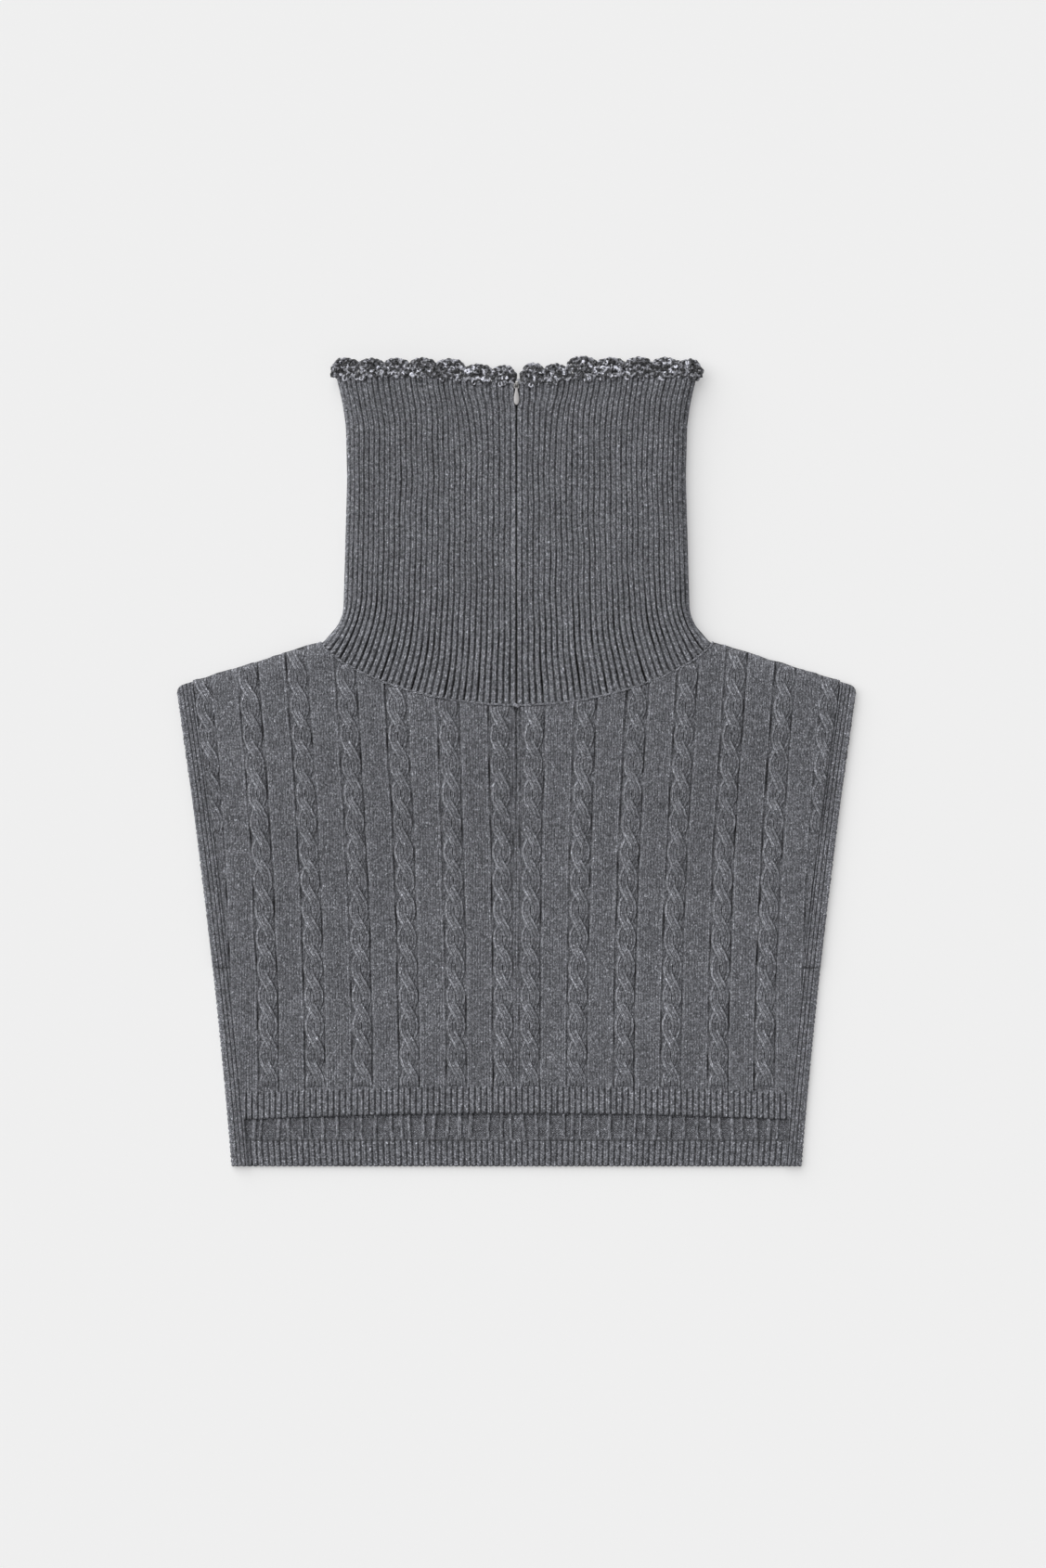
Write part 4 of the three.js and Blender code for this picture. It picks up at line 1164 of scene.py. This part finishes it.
def shell(left, right, height, near, free_left=False, free_right=False):
    middle, half = (left + right) / 2, (right - left) / 2
    base, level = collar_brim(middle, near)
    posts = 6 if near else 4
    scale = 1.0 if near else 0.45
    # The long loops are darkened with painted shade
    for post in range(posts):
        u = -1 + 2 * (post + 0.5) / posts + rng.normal(0, 0.04)
        root_x = middle + half * 0.7 * u
        root_y, root_z = collar_brim(root_x, near)
        root = np.array([root_x, root_y - 0.3, root_z + scale * rng.uniform(-0.6, 0.0)])
        tip_y = base + shell_top(0.9 * u, height, free_left, free_right) - 1.5
        tip_z = max(level + scale * rng.uniform(-0.9, 0.0), 1.1)
        tip = np.array([middle + half * 0.9 * u, tip_y, tip_z])
        sweep(frill, loop(root, tip, 3.3, 0.5 * scale, rng.uniform(-0.6, 0.6)), 0.95, True, depth=0.4)

    # The edge yarn, with small lobes and a faint painted shade
    u = np.linspace(-1, 1, 40)
    lobes = 0.5 * np.abs(np.sin(1.5 * np.pi * (u + 1) + rng.uniform(-0.6, 0.6))) - 0.2
    rim_y = base - 0.75 + shell_top(u, height, free_left, free_right) + lobes
    rim_z = np.maximum(level + scale * (0.5 * np.sin(7 * u + rng.uniform(0, 6)) - 0.1), 1.0)
    rim = np.column_stack([middle + u * (half - 0.3), rim_y, rim_z])
    sweep(frill, rim, 0.8 if near else 0.7, False, depth=0.05)

    # The filling
    if near:
        columns, rows = 7, 4
        for column in range(columns):
            for row in range(rows):
                u = -1 + 2 * (column + rng.uniform(0.15, 0.85)) / columns
                reach = (row + rng.uniform(0.1, 0.8)) / rows
                x = middle + u * (half - 0.7)
                y = base + reach * (shell_top(u, height, free_left, free_right) - 1.6)
                # Painted light at random, one value per stitch: some are darkened with painted shade,
                # others lightened as painted glints
                bright = rng.choice([0.50, 0.15, -0.3, -1.5], p=[0.3, 0.3, 0.2, 0.2])
                curled = curl_stitch(x, y, level + rng.uniform(0.5, 1.3), rng.uniform(0.8, 1.2))
                sweep(frill, curled, rng.uniform(0.46, 0.62), True, sides=6, twist=2.2, depth=bright)
        # A few stitches hang over the brim, lightened with a painted highlight
        for _ in range(2):
            x = middle + half * rng.uniform(-0.8, 0.8)
            y, z = collar_brim(x, near)
            root = np.array([x, y + 0.4, z + 1.2])
            tip = root + np.array([rng.normal(0, 0.7), rng.uniform(-3.4, -2.2), 0.1])
            stitch = loop(root, tip, 1.9, 0.3, rng.uniform(0, 6), 12)
            sweep(frill, stitch, 0.5, True, sides=6, depth=-0.5)


# %% All the shells
for index, (left, right, height) in enumerate(NEAR_SHELLS):
    shell(left, right, height, True, index in (0, 7), index in (6, 13))
far_ends = np.linspace(-98.0, 98.0, 14)
for left, right in zip(far_ends[:-1], far_ends[1:]):
    shell(left, right, 9.4, False)

# %% Row of stitches that carries the frill
for near in (True, False):
    for side in (-1, 1):
        start = 1.6 if near else 0.0
        count = 34 if near else 22
        for x in np.linspace(start, 99.5, count):
            y, z = collar_brim(x, near)
            root = np.array([side * x, y - 0.9, z + (0.75 if near else 0.0)])
            tip = root + np.array([rng.normal(0, 0.35), rng.uniform(2.1, 3.1), 0.2 if near else 0.0])
            stitch = loop(root, tip, 2.2, 0.3 if near else 0.15, rng.uniform(0, 6), 10)
            sweep(frill, stitch, 0.62, True, sides=6)

# Beside the slit the stitches are pressed down, so that the bail can swing over them
BAIL_ROOM = 10.5
BAIL_SIDE = 3.4
BAIL_REACH = 444.0
for spots in frill.points:
    beside = np.clip((BAIL_SIDE - np.abs(spots[:, 0])) / 1.3, 0, 1)
    below = np.clip((BAIL_REACH - spots[:, 1]) / 1.5, 0, 1)
    spots[:, 2] -= beside * below * np.maximum(spots[:, 2] - BAIL_ROOM, 0)
frill_piece = frill.piece(CROCHET, sort_normals=False)
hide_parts("collar_frill")

# %% [markdown]
# The collar is linked to the body with a fine chain. It stands up as a thin line of small loops
# along the neck seam, made a little brighter than the knitting with a painted highlight. Two strands
# that cross each other as they run give the same look as a linking machine's chain.

# %% Linked neck seam
chain = Knitting("neck_seam_chain")
SEAM_LINK = 2.3
for strand in (0, 1):
    distance = np.arange(-FRONT_SEAM[3], FRONT_SEAM[3], 0.42)
    share = np.abs(distance) / FRONT_SEAM[3]
    x = np.sign(distance) * np.interp(share, FRONT_SEAM[0], FRONT_SEAM[1])
    y = np.interp(share, FRONT_SEAM[0], FRONT_SEAM[2])
    tangent = np.stack([np.gradient(x), np.gradient(y)], axis=-1)
    tangent /= np.linalg.norm(tangent, axis=1, keepdims=True)
    phase = 2 * np.pi * distance / SEAM_LINK + strand * np.pi
    offset = 0.4 * np.sin(phase) + 0.22 * drift(x, y, 7.0, 61 + strand)
    x, y = x - tangent[:, 1] * offset, y + tangent[:, 0] * offset - 0.1
    z = near_outer(x, y) - 0.05 + 0.22 * np.cos(phase) + 0.2 * drift(x, y, 9.0, 63)
    sweep(chain, np.column_stack([x, y, z]), 0.34, False, sides=6, twist=2.0, depth=-0.45)

# A few stitches knot the seam where the slit ends, lightened with a painted highlight
KNOTS = 5
for _ in range(KNOTS):
    x, y = rng.uniform(-1.6, 1.6), NECK_LEVEL - FRONT_DROP + rng.uniform(-0.9, 0.7)
    z = float(near_outer(np.array(x), np.array(y))) + 0.35
    sweep(chain, curl_stitch(x, y, z, rng.uniform(0.6, 0.9)), 0.3, True, sides=6, depth=-0.5)
chain_piece = chain.piece(BODY_YARN)

# %% [markdown]
# The zip lies behind the slit in the collar: a woven tape with its coil, a small metal slider and a
# painted pull. Only a dark line of it shows between the ribs, with the slider's bridge at the top.
# The three finishes are small node trees, because each is one colour with a fine grain.

# %% Zip materials
def tape_material():
    n = Nodes("woven_zip_tape")
    place = n.split(n.spot())
    ways = [n.math("SINE", n.math("MULTIPLY", place[i], 2 * np.pi / 0.0007)) for i in (0, 1)]
    weave = n.math("MULTIPLY_ADD", n.math("MULTIPLY", ways[0], ways[1]), 0.5, 0.5)
    n.bump(weave, 0.00012)
    n.tint((0.030, 0.031, 0.036), n.math("MULTIPLY_ADD", weave, 0.7, 0.5))
    n.set(Roughness=0.8)
    return n.material


def metal_material():
    n = Nodes("brushed_steel")
    spot = n.spot()
    grain = n.noise(spot, 3800.0, 2.0)
    n.bump(grain, 0.00003)
    n.tint((0.62, 0.61, 0.60), n.ramp(n.noise(spot, 700.0), 0.35, 0.7, 0.82, 1.05))
    n.set(Metallic=1.0, Roughness=0.3)
    return n.material


def enamel_material():
    n = Nodes("grey_enamel")
    spot = n.spot()
    n.bump(n.noise(spot, 500.0, 2.0), 0.00004)
    n.tint((0.62, 0.60, 0.60), n.ramp(n.noise(spot, 260.0, 2.0), 0.3, 0.75, 0.9, 1.06))
    n.set(Roughness=0.42, Coat_Weight=0.25, Coat_Roughness=0.2)
    return n.material


TAPE = tape_material()
STEEL = metal_material()
ENAMEL = enamel_material()

# %% Tape and coil
tape_low, tape_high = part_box("zip_tape")
half, top = 6.0, tape_high.z * 1000
start, end = (tape_low.y - hem_level) * 1000, (tape_high.y - hem_level) * 1000
tape = Knitting("zip_tape_woven")
ring_x = np.array([-half, 0, half, half, 0, -half])
TAPE_WALL = 0.55
ring_z = np.array([top] * 3 + [top - TAPE_WALL] * 3)
levels = np.linspace(start, end, 60)
rings = np.stack(np.broadcast_arrays(ring_x[None, :], levels[:, None], ring_z[None, :]), axis=-1)
tape.tube(rings, np.zeros(2))
tape_piece = tape.piece(TAPE)
tape_piece.data.polygons.foreach_set("use_smooth", np.zeros(len(tape_piece.data.polygons), bool))
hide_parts("zip_tape")

coil = Knitting("zip_coil")
COIL_PITCH = 1.3
turns = int((end - start - 1) / COIL_PITCH)
angle = np.linspace(0, 2 * np.pi * turns, turns * 10)
path = np.column_stack([1.25 * np.cos(angle), start + 0.5 + COIL_PITCH * angle / (2 * np.pi),
                        top + 0.12 + 0.26 * np.sin(angle)])
sweep(coil, path, 0.24, False, sides=5, plies=0.0)
coil_piece = coil.piece(TAPE)

# %% [markdown]
# The slider keeps the part's own solid, which already has its real shape. A bevel takes the sharp
# look off its edges. It could be modelled again, but at 3 mm wide nothing more would show.

# %% Slider
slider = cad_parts["zip_slider"]
slider.data.materials.clear()
slider.data.materials.append(STEEL)
edges = slider.modifiers.new("edges", "BEVEL")
edges.width = 0.00018
edges.segments = 3
edges.limit_method = "ANGLE"
edges.angle_limit = 0.6

# %% [markdown]
# The pull is a painted teardrop on a wire bail. It hangs on the slider's pin, so both its pieces ride
# on the pull's body and swing with it. A flat plate with bevelled edges would do from far away, but
# the real one is a lens, thin at the rim, which catches one long highlight.

# %% Teardrop pull and its bail
pull_low, pull_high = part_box("zip_pull")
PIN_RADIUS = 0.35
PULL_LENGTH = 12.0
BAIL_HALF = 1.22
BAIL_LENGTH = 2.62
DROP_WIDTH = 3.0
DROP_THICKNESS = 0.84
hinge_y = (pull_high.y - hem_level) * 1000 - PIN_RADIUS
hinge_z = (pull_low.z + pull_high.z) * 500

down = np.linspace(0, 1, 36) ** 1.15
swell = lerp(0.62, DROP_WIDTH / 2, smooth(down / 0.62))
tapered = np.sqrt(np.maximum(1 - np.clip((down - 0.62) / 0.38, 0, 1) ** 2.4, 0.0004))
drop_half = swell * tapered * np.sqrt(1 - np.clip(1 - down / 0.05, 0, 0.999) ** 2)
angle = np.linspace(0, 2 * np.pi, 20, endpoint=False)
drop_y = hinge_y - lerp(BAIL_LENGTH - 0.25, PULL_LENGTH, down)
thick = DROP_THICKNESS / 2 * (drop_half / drop_half.max()) ** 0.45
rings = np.stack(np.broadcast_arrays(drop_half[:, None] * np.cos(angle), drop_y[:, None],
                                     hinge_z + thick[:, None] * np.sin(angle)), axis=-1)
drop = Knitting("zip_pull_drop")
drop.tube(rings, np.zeros(2))
drop_piece = drop.piece(ENAMEL, body="pull")
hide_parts("zip_pull")

bail = Knitting("zip_pull_bail")
turn = np.linspace(0, 2 * np.pi, 48, endpoint=False)
square = np.maximum(np.abs(np.cos(turn)), np.abs(np.sin(turn))) ** 0.75
bail_path = np.column_stack([BAIL_HALF * np.cos(turn) / square,
                             hinge_y - BAIL_LENGTH / 2 + BAIL_LENGTH / 2 * np.sin(turn) / square,
                             np.full_like(turn, hinge_z)])
sweep(bail, bail_path, 0.27, True, sides=8, plies=0.0)
bail.piece(STEEL, body="pull")

# %% [markdown]
# The collar is a tube of ribbing and the two panels are shaped pieces. The flat areas of the panels
# are worked out from the outline: the back panel as a whole, and the front panel inside its borders.

# %% Flat areas of the panels
def poly_area(x, y):
    return abs(float(np.sum(x * np.roll(y, -1) - y * np.roll(x, -1)) / 2)) * 1e-6


# Area of a panel from its side line, its lowest level and half its width at the top
def panel_area(side_at, lowest, half, drop):
    levels = np.linspace(lowest, BODY_LENGTH, 60)
    tops = np.linspace(half, -half, 200)
    across = np.concatenate([side_at(levels), tops, -side_at(levels[::-1])])
    return poly_area(across, np.concatenate([levels, panel_top(tops, drop), levels[::-1]]))


whole = panel_area(side_x, 0.0, SHOULDER_HALF, BACK_DROP)
front_area = panel_area(front_edge_x, FRONT_HEM, SHOULDER_HALF - BORDER, FRONT_DROP)

# %% [markdown]
# The table is a plain pale sheet without an edge in sight. It glows very faintly, which keeps the
# shadows as pale as in the photograph. A brighter sky would do that too, but it would also lay a
# grey halo round the whole garment.

# %% Table
TABLE_GLOW = 0.286
TABLE_SIZE = 80
bpy.ops.mesh.primitive_plane_add(size=TABLE_SIZE)
floor = bpy.context.object
floor.name = "floor"
paper = Nodes("pale_table")
paper.set(Base_Color=(0.80, 0.80, 0.80, 1), Roughness=0.9, Specular_IOR_Level=0.2)
paper.set(Emission_Color=(1.0, 1.0, 1.0, 1), Emission_Strength=TABLE_GLOW)
floor.data.materials.append(paper.material)

# %% [markdown]
# The photograph is taken straight from above. The camera stands far off with a long lens, so that
# nothing tapers. Its place and its lens come from the scale of the photograph, in millimetres to a
# pixel, and from where the garment's middle lies in it.

# %% Camera
PIXEL = 0.52
CAMERA_HEIGHT = 2.2
GARMENT_LEVEL = 0.005
SENSOR = 36
PICTURE_MIDDLE = (563.5, 845.0)
GARMENT_MIDDLE = (556.5, 821.0)
view_length = 2 * PICTURE_MIDDLE[1] * PIXEL * 0.001
camera_data = bpy.data.cameras.new("camera")
camera_data.sensor_width = SENSOR
camera_data.lens = SENSOR * (CAMERA_HEIGHT - GARMENT_LEVEL) / view_length
camera = bpy.data.objects.new("camera", camera_data)
camera_x = (PICTURE_MIDDLE[0] - GARMENT_MIDDLE[0]) * PIXEL * 0.001
camera_y = (GARMENT_MIDDLE[1] - PICTURE_MIDDLE[1]) * PIXEL * 0.001
camera.location = (camera_x, camera_y, CAMERA_HEIGHT)
bpy.context.scene.collection.objects.link(camera)
bpy.context.scene.camera = camera
print("camera lens:", round(camera_data.lens, 1), "mm")

# %% [markdown]
# The light is one very wide, soft lamp from the upper left and a dim room. An area light would do,
# but it has to be large and close, and a sun with a wide disc gives the same soft shadows at every
# place of the table.

# %% Light
ROOM_STRENGTH = 0.24
SUN_STRENGTH = 2.40
SUN_WIDTH = 78
SUN_WAY = Vector((1.0, -1.0, -1.15))
world = bpy.data.worlds.new("studio")
world.use_nodes = True
background = world.node_tree.nodes["Background"]
background.inputs["Color"].default_value = (1.0, 1.0, 1.0, 1)
background.inputs["Strength"].default_value = ROOM_STRENGTH
bpy.context.scene.world = world

key = bpy.data.lights.new("key", "SUN")
key.energy = SUN_STRENGTH
key.angle = np.radians(SUN_WIDTH)
lamp = bpy.data.objects.new("key", key)
lamp.rotation_euler = SUN_WAY.to_track_quat("-Z", "Y").to_euler()
bpy.context.scene.collection.objects.link(lamp)
bpy.context.scene.view_settings.view_transform = "Standard"
